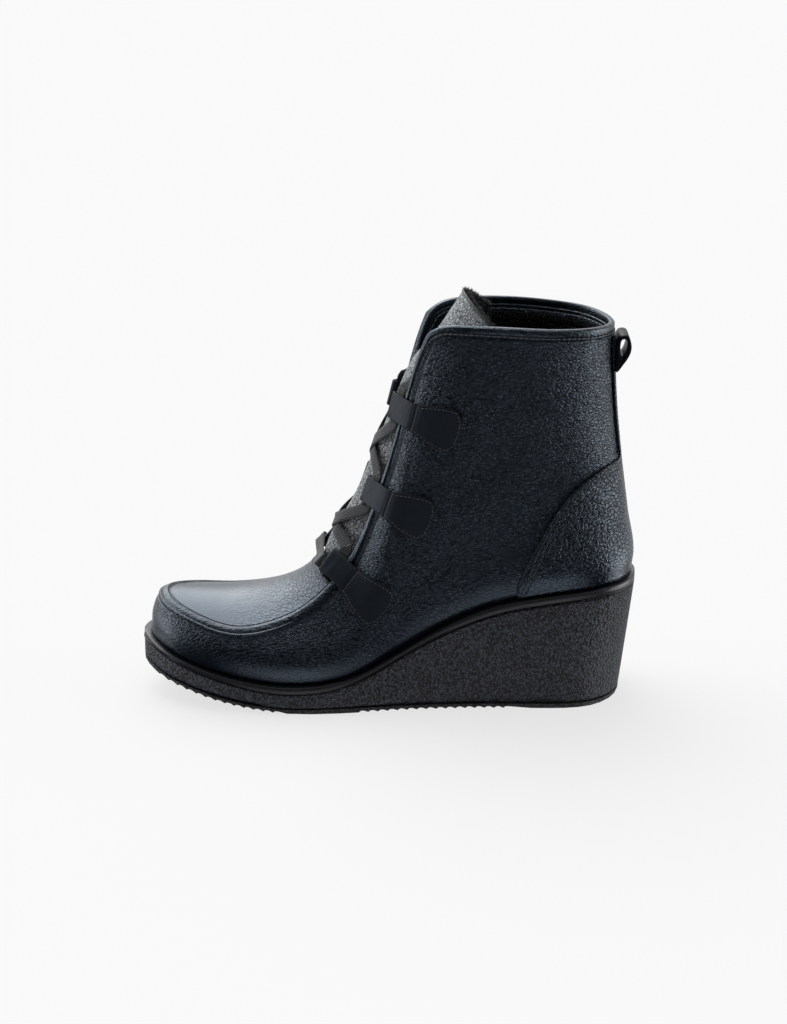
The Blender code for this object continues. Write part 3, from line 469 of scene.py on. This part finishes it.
# Soft folds of the walking foot: ends as (X, Z) on both sides, half width, height and side
folds = (
    ((-0.060, 0.074), (-0.008, 0.104), 0.0085, -0.0011, 0),
    ((-0.078, 0.092), (-0.022, 0.122), 0.0080, 0.0008, 0),
    ((-0.076, 0.112), (-0.030, 0.136), 0.0070, -0.0007, 0),
    ((-0.060, 0.170), (-0.016, 0.160), 0.0075, -0.0008, -1),
    ((-0.040, 0.150), (0.010, 0.146), 0.0070, 0.0006, -1),
    ((-0.030, 0.166), (0.004, 0.155), 0.0045, 0.0007, -1),
    ((-0.050, 0.158), (0.000, 0.166), 0.0080, -0.0007, 1),
    ((-0.130, 0.058), (-0.104, 0.040), 0.0070, -0.0008, 0),
    ((-0.118, 0.066), (-0.088, 0.050), 0.0070, 0.0006, 0),
)


def fold_height(point):
    total = 0.0
    for (x0, z0), (x1, z1), half, height, side in folds:
        if side * point.y < 0.0:
            continue
        run_x, run_z = x1 - x0, z1 - z0
        length = run_x * run_x + run_z * run_z
        t = ((point.x - x0) * run_x + (point.z - z0) * run_z) / length
        fade = ease(t, -0.15, 0.25) * (1.0 - ease(t, 0.75, 1.15))
        off = ((point.x - x0) * run_z - (point.z - z0) * run_x) / length ** 0.5
        total += height * fade * 2.718 ** (-((off / half) ** 2))
    return total


def last_swell(piece):
    """Rounds the wall out a little above the welt, where it turns in under the last."""
    level = [Vector((v.normal.x, v.normal.y, 0.0)) for v in piece.data.vertices]
    for vertex, outward in zip(piece.data.vertices, level):
        up = above_welt(vertex.co)
        swell = 0.0013 * ease(up, 0.001, 0.012) * (1.0 - ease(up, 0.014, 0.034))
        vertex.co += outward * swell
    piece.data.update()


gaps = [edge_gap(v.co) for v in upper.data.vertices]
normals = [v.normal.copy() for v in upper.data.vertices]
for vertex, gap, normal in zip(upper.data.vertices, gaps, normals):
    if gap > 0.0:
        vertex.co += normal * (fold_height(vertex.co) * ease(gap, 0.006, 0.014) * (abs(normal.y) ** 0.5))
last_swell(upper)
upper_tree = tree_of(upper)
outer_face = []
for face in upper.data.polygons:
    hit = upper_tree.ray_cast(face.center + face.normal * 0.0004, face.normal, 0.2)[0]
    outer_face.append(hit is None)
outer_tree = tree_of(upper, outer_face)
inner_tree = tree_of(upper, [not outer for outer in outer_face])
paint(upper, "edge_gap", edge_gap)
paint(upper, "lasting", lasting)


def looseness(point):
    """1 where the leather stands slack and wrinkles most, near the top of the shaft."""
    ring = ((point.x + 0.018) / 0.040) ** 2 + ((point.z - 0.160) / 0.026) ** 2
    return 1.0 - ease(ring, 0.25, 1.3)


paint(upper, "looseness", looseness)
band_profile = (
    (-6.0, 0.0), (-1.5, 0.0), (-0.6, -0.55), (0.1, 0.15), (1.0, 0.32), (2.7, 0.32), (3.6, 0.15), (4.3, -0.40),
    (5.0, 0.20), (5.5, -0.05), (6.1, -0.62), (6.9, 0.0), (12.0, 0.0),
)
finish_piece(
    upper,
    leather("pebbled_cowhide", leather_color, 0.29, 0.00120, 0.00036, (0.64, 0.76, 1.38), "lasting",
            ("edge_gap", band_profile), "looseness"),
    "pebbled_leather",
    "upper",
)


# Band stitching
# Lock stitch in bonded thread along the lower side of the folded band, and again round the inside
# of the collar, where it holds the facing.
def beside_edge(tree, i, distance, sunk=0.0):
    """A place on a wall's face at a distance below a step of the top edge, with its normal."""
    run = edge_runs[i]
    outward = Vector((run.y, -run.x, 0.0)).normalized()
    down = run.cross(outward)
    spot, normal, _, _ = tree.find_nearest(edge_points[i] + down * (distance / 2.0) - outward * sunk)
    down = (down - normal * down.dot(normal)).normalized()
    spot, normal, _, _ = tree.find_nearest(spot + down * (distance / 2.0))
    return spot, normal


def thread_rows(name, rows, pitch, length, thick, color, lift=0.0):
    """One mesh of short stitches laid end to end along rows of (place, normal)."""
    ring = [(cos(2.0 * pi * k / 6), sin(2.0 * pi * k / 6)) for k in range(6)]
    mould = [(-0.5, 0.0, 0.0)]
    for share, size in ((-0.40, 0.7), (0.0, 1.0), (0.40, 0.7)):
        mould += [(share, a * size * 0.5, b * size * 0.5) for a, b in ring]
    mould.append((0.5, 0.0, 0.0))
    mould_faces = [(0, 1 + (k + 1) % 6, 1 + k) for k in range(6)]
    for start in (1, 7):
        for k in range(6):
            j = (k + 1) % 6
            mould_faces.append((start + k, start + j, start + 6 + j, start + 6 + k))
    mould_faces += [(19, 13 + k, 13 + (k + 1) % 6) for k in range(6)]
    points = []
    faces = []
    for row in rows:
        walked = 0.0
        wanted = pitch / 2.0
        for (a, normal_a), (b, normal_b) in zip(row, row[1:]):
            step = (b - a).length
            while step > 0.0 and wanted <= walked + step:
                t = (wanted - walked) / step
                run = (b - a) / step
                normal = normal_a.lerp(normal_b, t)
                normal = (normal - run * normal.dot(run)).normalized()
                across = normal.cross(run)
                middle = a.lerp(b, t) + normal * lift
                base = len(points)
                for x, y, z in mould:
                    points.append(middle + run * (x * length) + across * (y * thick) + normal * (z * thick))
                faces += [tuple(base + v for v in face) for face in mould_faces]
                wanted += pitch
            walked += step
    mesh = bpy.data.meshes.new(name)
    mesh.from_pydata([tuple(p) for p in points], [], faces)
    piece = bpy.data.objects.new(name, mesh)
    bpy.context.scene.collection.objects.link(piece)
    only(piece)
    bpy.ops.object.shade_smooth()
    material, _, shader = new_material(name + "_thread", color, 0.5)
    shader.inputs["Sheen Weight"].default_value = 0.3
    finish_piece(piece, material, "woven_lace")
    return piece


band_row = [beside_edge(outer_tree, i, 0.0044) for i in range(edge_count)]
thread_rows("band_stitches", [band_row + band_row[:1]], 0.0027, 0.0021, 0.00068, (0.035, 0.040, 0.048), 0.00012)
facing_row = [
    beside_edge(inner_tree, i, 0.0062, 0.0022) for i in range(edge_count) if edge_columns[i] > throat_column + 9
]
thread_rows("facing_stitches", [facing_row], 0.0030, 0.0025, 0.0006, (0.14, 0.15, 0.17), 0.0001)
# Two rows across the apron, where its rear edge is turned under in front of the tongue
apron_ends = [edge_point(side, throat_column) for side in (-1.0, 1.0)]
apron_rows = []
for distance in (0.0022, 0.0044):
    row = []
    for i in range(8, 73):
        share = i / 80
        arch = 1.0 - (2.0 * share - 1.0) ** 2
        spot = apron_ends[0].lerp(apron_ends[1], share)
        spot += Vector((-0.008 * arch - distance, 0.0, 0.0055 * arch))
        near, normal, _, _ = outer_tree.find_nearest(spot)
        row.append((near, normal))
    apron_rows.append(row)
thread_rows("apron_stitches", apron_rows, 0.0026, 0.0020, 0.0006, (0.035, 0.040, 0.048), 0.00012)


# Lining
# Black fleece glued inside the wall, up to the leather facing that runs round the rim.
def fleece_cloth(name, color, depth):
    """Short matted pile: soft clumps with loose hairs between them."""
    material, tree, shader = new_material(name, color, 1.0)
    place = tree.nodes.new("ShaderNodeTexCoord").outputs["Object"]
    clumps = add_node(tree, "ShaderNodeTexNoise", Scale=420.0, Detail=4.0, Roughness=0.7)
    tree.links.new(place, clumps.inputs["Vector"])
    bump = add_node(tree, "ShaderNodeBump", Strength=1.0, Distance=depth)
    tree.links.new(clumps.outputs["Fac"], bump.inputs["Height"])
    tree.links.new(bump.outputs[0], shader.inputs["Normal"])
    shader.inputs["Specular IOR Level"].default_value = 0.1
    shader.inputs["Sheen Weight"].default_value = 0.05
    return material


fleece = fleece_cloth("black_fleece", (0.0035, 0.0037, 0.0045), 0.0012)
lining_mesh = bmesh.new()
lining_mesh.from_mesh(upper.data)
lining_mesh.faces.ensure_lookup_table()
outside = [
    face for face in lining_mesh.faces
    if outer_face[face.index] or abs(edge_gap(face.calc_center_median())) < 0.0072
]
bmesh.ops.delete(lining_mesh, geom=outside, context="FACES")
lining_data = bpy.data.meshes.new("fleece_lining")
lining_mesh.to_mesh(lining_data)
lining_mesh.free()
lining = bpy.data.objects.new("fleece_lining", lining_data)
bpy.context.scene.collection.objects.link(lining)
only(lining)
pile = lining.modifiers.new("pile", "SOLIDIFY")
pile.thickness = 0.0009
pile.offset = 1.0
bpy.ops.object.modifier_apply(modifier="pile")
bpy.ops.object.shade_smooth()
finish_piece(lining, fleece, "fleece")


# Heel counter
# A second layer of the same cowhide over the heel, skived at its edge and stitched down twice.
seam_rows = (
    (0.740, 0.270), (0.767, 0.340), (0.784, 0.401), (0.802, 0.455), (0.829, 0.515),
    (0.864, 0.571), (0.916, 0.616), (0.990, 0.630),
)
counter = take("counter", "heel_counter")
crease_folds(counter, 60.0, 0.6)
smooth_over(counter, 2)
last_swell(counter)
counter_tree = tree_of(counter)
seam_lines = {}
for side in (-1.0, 1.0):
    line = []
    for i in range(161):
        share = 0.7402 + (0.972 - 0.7402) * i / 160
        spot = Vector((along_x(share), side * 0.1, flow(seam_rows, 1, share) * boot_height))
        near, _, _, _ = counter_tree.find_nearest(Vector((spot.x, side * 0.034, spot.z)))
        hit, normal, _, _ = counter_tree.ray_cast(spot, Vector((0.0, -side, 0.0)))
        line.append(hit if hit is not None else near)
    seam_lines[side] = line
seam_points = [point for line in seam_lines.values() for point in line]
seam_search = near_search(seam_points)
paint(counter, "edge_gap", lambda point: seam_search.find(point)[2])
paint(counter, "lasting", lasting)
counter_profile = (
    (0.0, -0.25), (0.5, 0.0), (1.3, 0.05), (1.9, -0.18), (2.5, 0.10), (3.4, 0.10), (4.1, -0.18), (4.8, 0.0),
    (12.0, 0.0),
)
finish_piece(
    counter,
    leather("counter_cowhide", leather_color, 0.26, 0.00140, 0.00048, (0.85, 0.9, 1.05), "lasting",
            ("edge_gap", counter_profile)),
    "pebbled_leather",
    "counter",
)


def inside_line(tree, line, distance, side):
    """A row at a distance inside a seam, on the face of its piece."""
    row = []
    for i in range(1, len(line) - 1):
        run = (line[i + 1] - line[i - 1]).normalized()
        spot, normal, _, _ = tree.find_nearest(line[i])
        inward = run.cross(Vector((0.0, side, 0.0))).normalized()
        if inward.z > 0.0:
            inward.negate()
        spot, normal, _, _ = tree.find_nearest(line[i] + inward * distance + Vector((0.0, side * 0.002, 0.0)))
        row.append((spot, normal))
    return row


counter_stitches = []
for side, line in seam_lines.items():
    for distance in (0.0019, 0.0041):
        counter_stitches.append(inside_line(counter_tree, line, distance, side))
thread_color = (0.020, 0.024, 0.030)
thread_rows("counter_stitches", counter_stitches, 0.0026, 0.0020, 0.0005, thread_color)


# Backstay
# A strip of the cowhide with turned edges, sewn over the back seam from the counter to the band.
backstay = take("backstay", "backstay_strip")
crease_folds(backstay, 60.0, 0.6)
smooth_over(backstay, 2)
backstay_tree = tree_of(backstay)
strip_half = 0.0076
paint(backstay, "edge_gap", lambda point: strip_half - abs(point.y))
paint(backstay, "lasting", lambda point: 0.2)
strip_profile = ((0.0, -0.1), (0.5, 0.1), (1.1, 0.0), (1.6, -0.18), (2.1, 0.05), (8.0, 0.05))
finish_piece(
    backstay,
    leather("backstay_cowhide", leather_color, 0.36, 0.0012, 0.00022, (1.0, 1.0, 1.0), "lasting",
            ("edge_gap", strip_profile)),
    "pebbled_leather",
    "backstay",
)
strip_low, strip_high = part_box("backstay")
strip_rows = []
for y in (-0.0060, 0.0060):
    row = []
    for i in range(81):
        z = strip_low.z + 0.001 + (strip_high.z - strip_low.z - 0.002) * i / 80
        hit, normal, _, _ = backstay_tree.ray_cast(Vector((0.1, y, z)), Vector((-1.0, 0.0, 0.0)))
        if hit is not None:
            row.append((hit, normal))
    strip_rows.append(row)
thread_rows("backstay_stitches", strip_rows, 0.0026, 0.0020, 0.0005, thread_color)


# Tongue
# The same cowhide on the outside and a thick fleece behind it, bound together by a narrow piping.
# Its top curls back and shows the fleece.
def sheet_from(mesh, first, angle):
    """The faces reached from one face without crossing a fold sharper than an angle."""
    found = {first}
    waiting = [first]
    while waiting:
        face = waiting.pop()
        for edge in face.edges:
            if len(edge.link_faces) == 2 and edge.calc_face_angle(0.0) < radians(angle):
                for other in edge.link_faces:
                    if other not in found:
                        found.add(other)
                        waiting.append(other)
    return found


tongue = take("tongue", "tongue_leather")
tongue_flat = bmesh.new()
tongue_flat.from_mesh(tongue.data)
tongue_flat.faces.ensure_lookup_table()
tongue_search = BVHTree.FromBMesh(tongue_flat)
_, _, first_face, _ = tongue_search.ray_cast(Vector((-0.3, 0.0, 0.12)), Vector((1.0, 0.0, 0.0)))
front_faces = sheet_from(tongue_flat, tongue_flat.faces[first_face], 50.0)
front_index = {face.index for face in front_faces}
for face in tongue_flat.faces:
    face.material_index = 0 if face.index in front_index else 1
border_next = {}
for edge in tongue_flat.edges:
    sides = [face.index in front_index for face in edge.link_faces]
    if len(sides) == 2 and sides[0] != sides[1]:
        a, b = edge.verts
        border_next.setdefault(a, []).append(b)
        border_next.setdefault(b, []).append(a)
border = [min(border_next, key=lambda v: v.co.z)]
while True:
    ahead = [v for v in border_next[border[-1]] if v not in border[-2:] and v is not border[0]]
    if not ahead:
        break
    border.append(ahead[0])
piping_points = [v.co.copy() for v in border if v.co.z > 0.105]
tongue_flat.to_mesh(tongue.data)
tongue_flat.free()
crease_folds(tongue, 60.0, 0.6)
smooth_over(tongue, 2)
sheet_index = [face.material_index for face in tongue.data.polygons]
# Painted light: the tongue's cowhide is coloured far lighter than the upper's, standing in for the light that falls
# on its top
finish_piece(
    tongue,
    leather("tongue_cowhide_painted_light", (0.2400, 0.2400, 0.2350), 0.46, 0.00115, 0.00034),
    "pebbled_leather",
    "tongue",
)
tongue.data.materials.append(fleece)
tongue.data.polygons.foreach_set("material_index", sheet_index)
tongue_tree = tree_of(tongue)


def smooth_path(points, pieces):
    """A smooth curve through points."""
    path = []
    for i in range(len(points) - 1):
        a = points[max(i - 1, 0)]
        b = points[i]
        c = points[i + 1]
        d = points[min(i + 2, len(points) - 1)]
        for k in range(pieces):
            t = k / pieces
            path.append(
                (b * 2.0 + (c - a) * t + (a * 2.0 - b * 5.0 + c * 4.0 - d) * t * t
                 + (b * 3.0 - a - c * 3.0 + d) * t * t * t) * 0.5
            )
    path.append(points[-1])
    return path


def tube(name, path, radius):
    """A round cord along a path, made as a curve with a bevel and turned into a mesh."""
    line = bpy.data.curves.new(name, "CURVE")
    line.dimensions = "3D"
    line.bevel_depth = radius
    line.bevel_resolution = 2
    line.use_fill_caps = True
    run = line.splines.new("POLY")
    run.points.add(len(path) - 1)
    for spot, place in zip(run.points, path):
        spot.co = (place.x, place.y, place.z, 1.0)
    piece = bpy.data.objects.new(name, line)
    bpy.context.scene.collection.objects.link(piece)
    only(piece)
    bpy.ops.object.convert(target="MESH")
    piece = bpy.context.object
    bpy.ops.object.shade_smooth()
    return piece


piping_path = []
for point in smooth_path(piping_points, 5):
    near, _, _, _ = tongue_tree.find_nearest(point)
    piping_path.append(near)
piping_path = [sum(piping_path[max(i - 2, 0):i + 3], Vector()) / len(piping_path[max(i - 2, 0):i + 3])
               for i in range(len(piping_path))]
piping = tube("tongue_piping", piping_path, 0.00075)
piping_leather, _, _ = new_material("piping_calf", (0.004, 0.005, 0.007), 0.4)
finish_piece(piping, piping_leather, "smooth_leather")


def tufts(name, spots, length, thick, seed):
    """Loose hairs of a pile as thin bent spikes on spots of (place, direction), in one mesh."""
    random = np.random.default_rng(seed)
    points = []
    faces = []
    for place, outward in spots:
        lean = Vector(random.normal(0.0, 0.45, 3))
        along = (outward + lean).normalized()
        bend = Vector(random.normal(0.0, 0.35, 3))
        reach = length * random.uniform(0.6, 1.15)
        side = along.orthogonal().normalized()
        other = along.cross(side)
        base = len(points)
        for share, size in ((0.0, 1.0), (0.55, 0.7)):
            middle = place + along * (reach * share) + bend * (reach * 0.35 * share * share)
            for k in range(3):
                turn = 2.0 * pi * k / 3
                points.append(middle + (side * cos(turn) + other * sin(turn)) * (thick * size))
        points.append(place + along * reach + bend * (reach * 0.35))
        faces.append((base + 2, base + 1, base))
        for k in range(3):
            j = (k + 1) % 3
            faces.append((base + k, base + j, base + 3 + j, base + 3 + k))
            faces.append((base + 3 + k, base + 3 + j, base + 6))
    mesh = bpy.data.meshes.new(name)
    mesh.from_pydata([tuple(p) for p in points], [], faces)
    piece = bpy.data.objects.new(name, mesh)
    bpy.context.scene.collection.objects.link(piece)
    only(piece)
    bpy.ops.object.shade_smooth()
    return piece


def scatter(piece, wanted, seed, count):
    """Random spots on the faces that wanted says yes to, spread by their area."""
    random = np.random.default_rng(seed)
    mesh = piece.data
    chosen = [face for face in mesh.polygons if wanted(face)]
    areas = np.array([face.area for face in chosen])
    picks = random.choice(len(chosen), count, p=areas / areas.sum())
    spots = []
    for pick in picks:
        face = chosen[pick]
        weights = random.dirichlet([1.0] * len(face.vertices))
        place = Vector()
        for weight, v in zip(weights, face.vertices):
            place += mesh.vertices[v].co * float(weight)
        spots.append((place, face.normal.copy()))
    return spots


pile_spots = scatter(tongue, lambda face: face.material_index == 1 and face.center.z > 0.172, 11, 7000)
pile = tufts("tongue_pile", pile_spots, 0.0022, 0.00016, 12)
hair, _, hair_shader = new_material("pile_hair", (0.0040, 0.0046, 0.0060), 0.8)
hair_shader.inputs["Sheen Weight"].default_value = 0.12
finish_piece(pile, hair, "fleece")
rim_spots = scatter(
    upper,
    lambda face: not outer_face[face.index] and 0.0080 < abs(edge_gap(face.center)) < 0.030
    and face.center.z > 0.165,
    21,
    6000,
)
rim_spots = [(place + outward * 0.0008, outward) for place, outward in rim_spots]
rim_pile = tufts("lining_pile", rim_spots, 0.0019, 0.00016, 22)
finish_piece(rim_pile, hair, "fleece")


# Lace loops
# Straps of smooth calf, folded round the edge of the throat, with a fan-shaped end stitched down.
def smooth_calf(name, color, gloss, seam=None, fold=None):
    """Smooth calf with a faint grain and a waxed surface."""
    material, tree, shader = new_material(name, color, gloss)
    place = tree.nodes.new("ShaderNodeTexCoord").outputs["Object"]
    grain = add_node(tree, "ShaderNodeTexNoise", Scale=1100.0, Detail=4.0, Roughness=0.6)
    tree.links.new(place, grain.inputs["Vector"])
    waves = add_node(tree, "ShaderNodeTexNoise", Scale=160.0, Detail=2.0)
    tree.links.new(place, waves.inputs["Vector"])
    height = sum_of(tree, "MULTIPLY", grain.outputs["Fac"], 0.00007)
    height = sum_of(tree, "ADD", height, sum_of(tree, "MULTIPLY", waves.outputs["Fac"], 0.0005))
    if seam is not None:
        height = sum_of(tree, "ADD", height, seam_profile(tree, *seam))
    if fold is not None:
        height = sum_of(tree, "ADD", height, seam_profile(tree, *fold))
    bump = add_node(tree, "ShaderNodeBump", Strength=1.0, Distance=1.0)
    tree.links.new(height, bump.inputs["Height"])
    tree.links.new(bump.outputs[0], shader.inputs["Normal"])
    shader.inputs["Specular Tint"].default_value = (0.74, 0.87, 1.0, 1.0)
    shader.inputs["Specular IOR Level"].default_value = 0.1
    shader.inputs["Coat Weight"].default_value = 0.06
    shader.inputs["Coat Roughness"].default_value = 0.3
    return material


tab_rows = (
    (0.00, 0.64, 0.64), (0.15, 0.72, 0.74), (0.35, 0.86, 0.92), (0.55, 0.95, 1.02),
    (0.75, 0.99, 1.09), (0.88, 0.90, 1.00), (0.96, 0.64, 0.72), (1.00, 0.34, 0.34),
)
tab_start = 0.0046
tab_length = 0.025
tab_half = 0.0108
tab_profile = (
    (-1.0, -0.2), (0.0, -0.10), (0.4, 0.12), (0.8, 0.10), (1.3, -0.20), (1.9, 0.05), (3.0, 0.08), (6.0, 0.10),
    (14.0, 0.10),
)
fold_profile = (
    (-12.0, -0.98), (-8.0, -0.30), (-4.0, 0.15), (0.0, 0.32), (3.0, 0.22), (4.6, -0.05), (5.6, -0.80),
    (6.4, -0.20), (8.5, 0.0), (12.0, 0.0),
)
tab_calf = smooth_calf(
    "tab_calf", (0.0105, 0.0130, 0.0180), 0.46, ("edge_gap", tab_profile), ("behind_edge", fold_profile)
)


def tab_outline(side, level):
    """The outline of a tab's face, from the strap round its end and back, with its own directions."""
    column = throat_column
    while edge_point(side, column).z < level * boot_height:
        column += 0.02
    start = edge_point(side, column)
    up = edge_point(side, column + 0.4) - edge_point(side, column - 0.4)
    up = Vector((up.x, 0.0, up.z)).normalized()
    back = Vector((up.z, 0.0, -up.x))
    upper_run = []
    lower_run = []
    for i in range(61):
        share = 1.0 - (1.0 - i / 60) ** 2
        along = start + back * (tab_start + share * tab_length)
        upper_run.append(along + up * (flow(tab_rows, 1, share) * tab_half))
        lower_run.append(along - up * (flow(tab_rows, 2, share) * tab_half))
    end = [upper_run[-1].lerp(lower_run[-1], k / 12) for k in range(1, 12)]
    return upper_run + end + lower_run[::-1], up, back, start


tab_stitches = []
for side_name, side in (("lateral", -1.0), ("medial", 1.0)):
    for level_name, level in (("low", 0.352), ("mid", 0.545), ("top", 0.765)):
        label = side_name + "_" + level_name
        loop = take("lace_loop_" + label, "strap_loop_" + label)
        crease_folds(loop, 60.0, 0.75)
        smooth_over(loop, 2)
        loop_tree = tree_of(loop)
        outline, up, back, start = tab_outline(side, level)
        flat = [Vector((p.x, 0.0, p.z)) for p in outline]
        outline_search = near_search(flat)
        paint(loop, "edge_gap", lambda p: outline_search.find(Vector((p.x, 0.0, p.z)))[2])
        paint(loop, "behind_edge", lambda p: (p - start).dot(back))
        finish_piece(loop, tab_calf, "smooth_leather", "lace_loop_" + label)
        centre = sum(flat, Vector()) / len(flat)
        row = []
        for i in range(1, len(flat) - 1):
            run = (flat[i + 1] - flat[i - 1]).normalized()
            inward = Vector((run.z, 0.0, -run.x))
            if inward.dot(centre - flat[i]) < 0.0:
                inward.negate()
            spot = flat[i] + inward * 0.0013
            if outline_search.find(spot)[2] < 0.00122:
                continue
            hit, normal, _, _ = loop_tree.ray_cast(spot + Vector((0.0, side * 0.1, 0.0)), Vector((0.0, -side, 0.0)))
            if hit is not None:
                row.append((hit, normal))
        tab_stitches.append(row)
thread_rows("tab_stitches", tab_stitches, 0.0022, 0.0016, 0.00042, thread_color)


# Pull loop
# A strap of the smooth calf folded double and caught under the top of the backstay.
calf = smooth_calf("pull_calf", (0.0030, 0.0040, 0.0060), 0.36)
pull = take("pull_loop", "pull_strap")
# The folded strap is drawn in against the backstay, most of all at its foot
pull_low, pull_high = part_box("pull_loop")
for vertex in pull.data.vertices:
    share = (vertex.co.z - pull_low.z) / (pull_high.z - pull_low.z)
    vertex.co.x -= 0.0009 + 0.0012 * (1.0 - ease(share, 0.0, 0.5))
crease_folds(pull, 60.0, 0.8)
smooth_over(pull, 2)
finish_piece(pull, calf, "smooth_leather", "pull_loop")


# Lace
# A flat lace woven of black cotton, crossed twice over the tongue.
def woven_tape(name, color):
    material, tree, shader = new_material(name, color, 0.8)
    place = tree.nodes.new("ShaderNodeTexCoord").outputs["Object"]
    ribs = []
    for turn in (0.7, -0.7):
        tilt = add_node(tree, "ShaderNodeMapping", Rotation=(0.0, turn, 0.0))
        tree.links.new(place, tilt.inputs["Vector"])
        wave = add_node(tree, "ShaderNodeTexWave", Scale=330.0, Distortion=0.6)
        wave.bands_direction = "Z"
        tree.links.new(tilt.outputs[0], wave.inputs["Vector"])
        ribs.append(wave.outputs["Fac"])
    knots = sum_of(tree, "MAXIMUM", ribs[0], ribs[1])
    bump = add_node(tree, "ShaderNodeBump", Strength=1.0, Distance=0.00022)
    tree.links.new(knots, bump.inputs["Height"])
    tree.links.new(bump.outputs[0], shader.inputs["Normal"])
    shader.inputs["Specular IOR Level"].default_value = 0.3
    shader.inputs["Sheen Weight"].default_value = 0.2
    shader.inputs["Sheen Roughness"].default_value = 0.5
    return material


tape = woven_tape("woven_tape", (0.013, 0.0145, 0.017))
for node in ("lace", "lace_bar"):
    ribbon = take(node, "woven_" + node)
    crease_folds(ribbon, 60.0, 0.6)
    smooth_over(ribbon, 2)
    finish_piece(ribbon, tape, "woven_lace", node)


# Insole
# A cut board covered with the same fleece as the lining.
insole = take("insole", "fleece_insole")
smooth_over(insole, 1, 40.0)
finish_piece(insole, fleece, "fleece", "insole")


# Rand
# A smooth moulded rubber band that wraps the top of the sole, with a groove and a lip.
rubber, rubber_tree, rubber_shader = new_material("rand_rubber", (0.007, 0.008, 0.011), 0.36)
rubber_place = rubber_tree.nodes.new("ShaderNodeTexCoord").outputs["Object"]
rubber_skin = add_node(rubber_tree, "ShaderNodeTexNoise", Scale=500.0, Detail=5.0, Roughness=0.7)
rubber_tree.links.new(rubber_place, rubber_skin.inputs["Vector"])
rubber_bump = add_node(rubber_tree, "ShaderNodeBump", Strength=1.0, Distance=0.00025)
rubber_tree.links.new(rubber_skin.outputs["Fac"], rubber_bump.inputs["Height"])
rubber_tree.links.new(rubber_bump.outputs[0], rubber_shader.inputs["Normal"])
rand = take("rand", "moulded_rand")
# The groove under the lip is deep at the heel only, and a thin line further forward
for vertex in rand.data.vertices:
    if above_welt(vertex.co) < -0.0030:
        level = Vector((vertex.normal.x, vertex.normal.y, 0.0)).normalized()
        vertex.co += level * (0.00062 * (1.0 - ease(vertex.co.x, -0.030, 0.015)))
crease_folds(rand, 50.0, 0.7)
smooth_over(rand, 2)
finish_piece(rand, rubber, "rand_rubber", "rand")


# Wedge
# One block of crumb rubber, moulded with a coarse crinkled skin.
def crumb_rubber(name, color):
    """Crumbs about a millimetre across, pressed together with worm-like gaps between them."""
    material, tree, shader = new_material(name, color, 0.55)
    place = tree.nodes.new("ShaderNodeTexCoord").outputs["Object"]
    wander = add_node(tree, "ShaderNodeTexNoise", Scale=800.0, Detail=2.0)
    tree.links.new(place, wander.inputs["Vector"])
    shift = tree.nodes.new("ShaderNodeVectorMath")
    shift.operation = "SCALE"
    shift.inputs["Scale"].default_value = 0.0012
    tree.links.new(wander.outputs["Color"], shift.inputs[0])
    moved = tree.nodes.new("ShaderNodeVectorMath")
    moved.operation = "ADD"
    tree.links.new(place, moved.inputs[0])
    tree.links.new(shift.outputs[0], moved.inputs[1])
    crumbs = tree.nodes.new("ShaderNodeTexVoronoi")
    crumbs.feature = "SMOOTH_F1"
    crumbs.inputs["Scale"].default_value = 880.0
    crumbs.inputs["Smoothness"].default_value = 0.4
    tree.links.new(moved.outputs[0], crumbs.inputs["Vector"])
    worms = add_node(tree, "ShaderNodeTexNoise", Scale=640.0, Detail=3.0, Roughness=0.7)
    tree.links.new(place, worms.inputs["Vector"])
    height = sum_of(tree, "SUBTRACT", sum_of(tree, "MULTIPLY", worms.outputs["Fac"], 1.6), crumbs.outputs["Distance"])
    bump = add_node(tree, "ShaderNodeBump", Strength=1.0, Distance=0.0011)
    tree.links.new(height, bump.inputs["Height"])
    tree.links.new(bump.outputs[0], shader.inputs["Normal"])
    # Painted shade and highlight: the base colour is darkened in the gaps between the crumbs and lightened on their
    # tops
    shade = tree.nodes.new("ShaderNodeMapRange")
    shade.inputs["From Min"].default_value = 0.15
    shade.inputs["From Max"].default_value = 0.70
    shade.inputs["To Min"].default_value = 0.02
    shade.inputs["To Max"].default_value = 2.0
    tree.links.new(height, shade.inputs["Value"])
    crumb_shade_and_highlight = tree.nodes.new("ShaderNodeVectorMath")
    crumb_shade_and_highlight.operation = "SCALE"
    crumb_shade_and_highlight.inputs[0].default_value = color
    tree.links.new(shade.outputs[0], crumb_shade_and_highlight.inputs["Scale"])
    tree.links.new(crumb_shade_and_highlight.outputs[0], shader.inputs["Base Color"])
    return material


wedge = take("wedge", "crumb_wedge")
crease_folds(wedge, 50.0, 0.93)
smooth_over(wedge, 2, 40.0)
finish_piece(wedge, crumb_rubber("crumb_rubber", (0.027, 0.032, 0.044)), "crumb_rubber", "wedge")


# Outsole
# A thin sheet of harder rubber with teeth cut in its edge.
tread = crumb_rubber("tread_rubber", (0.017, 0.019, 0.023))
outsole = take("outsole", "tread_sheet")
only(outsole)
bpy.ops.object.shade_smooth_by_angle(angle=radians(35.0))
finish_piece(outsole, tread, "tread_rubber", "outsole")
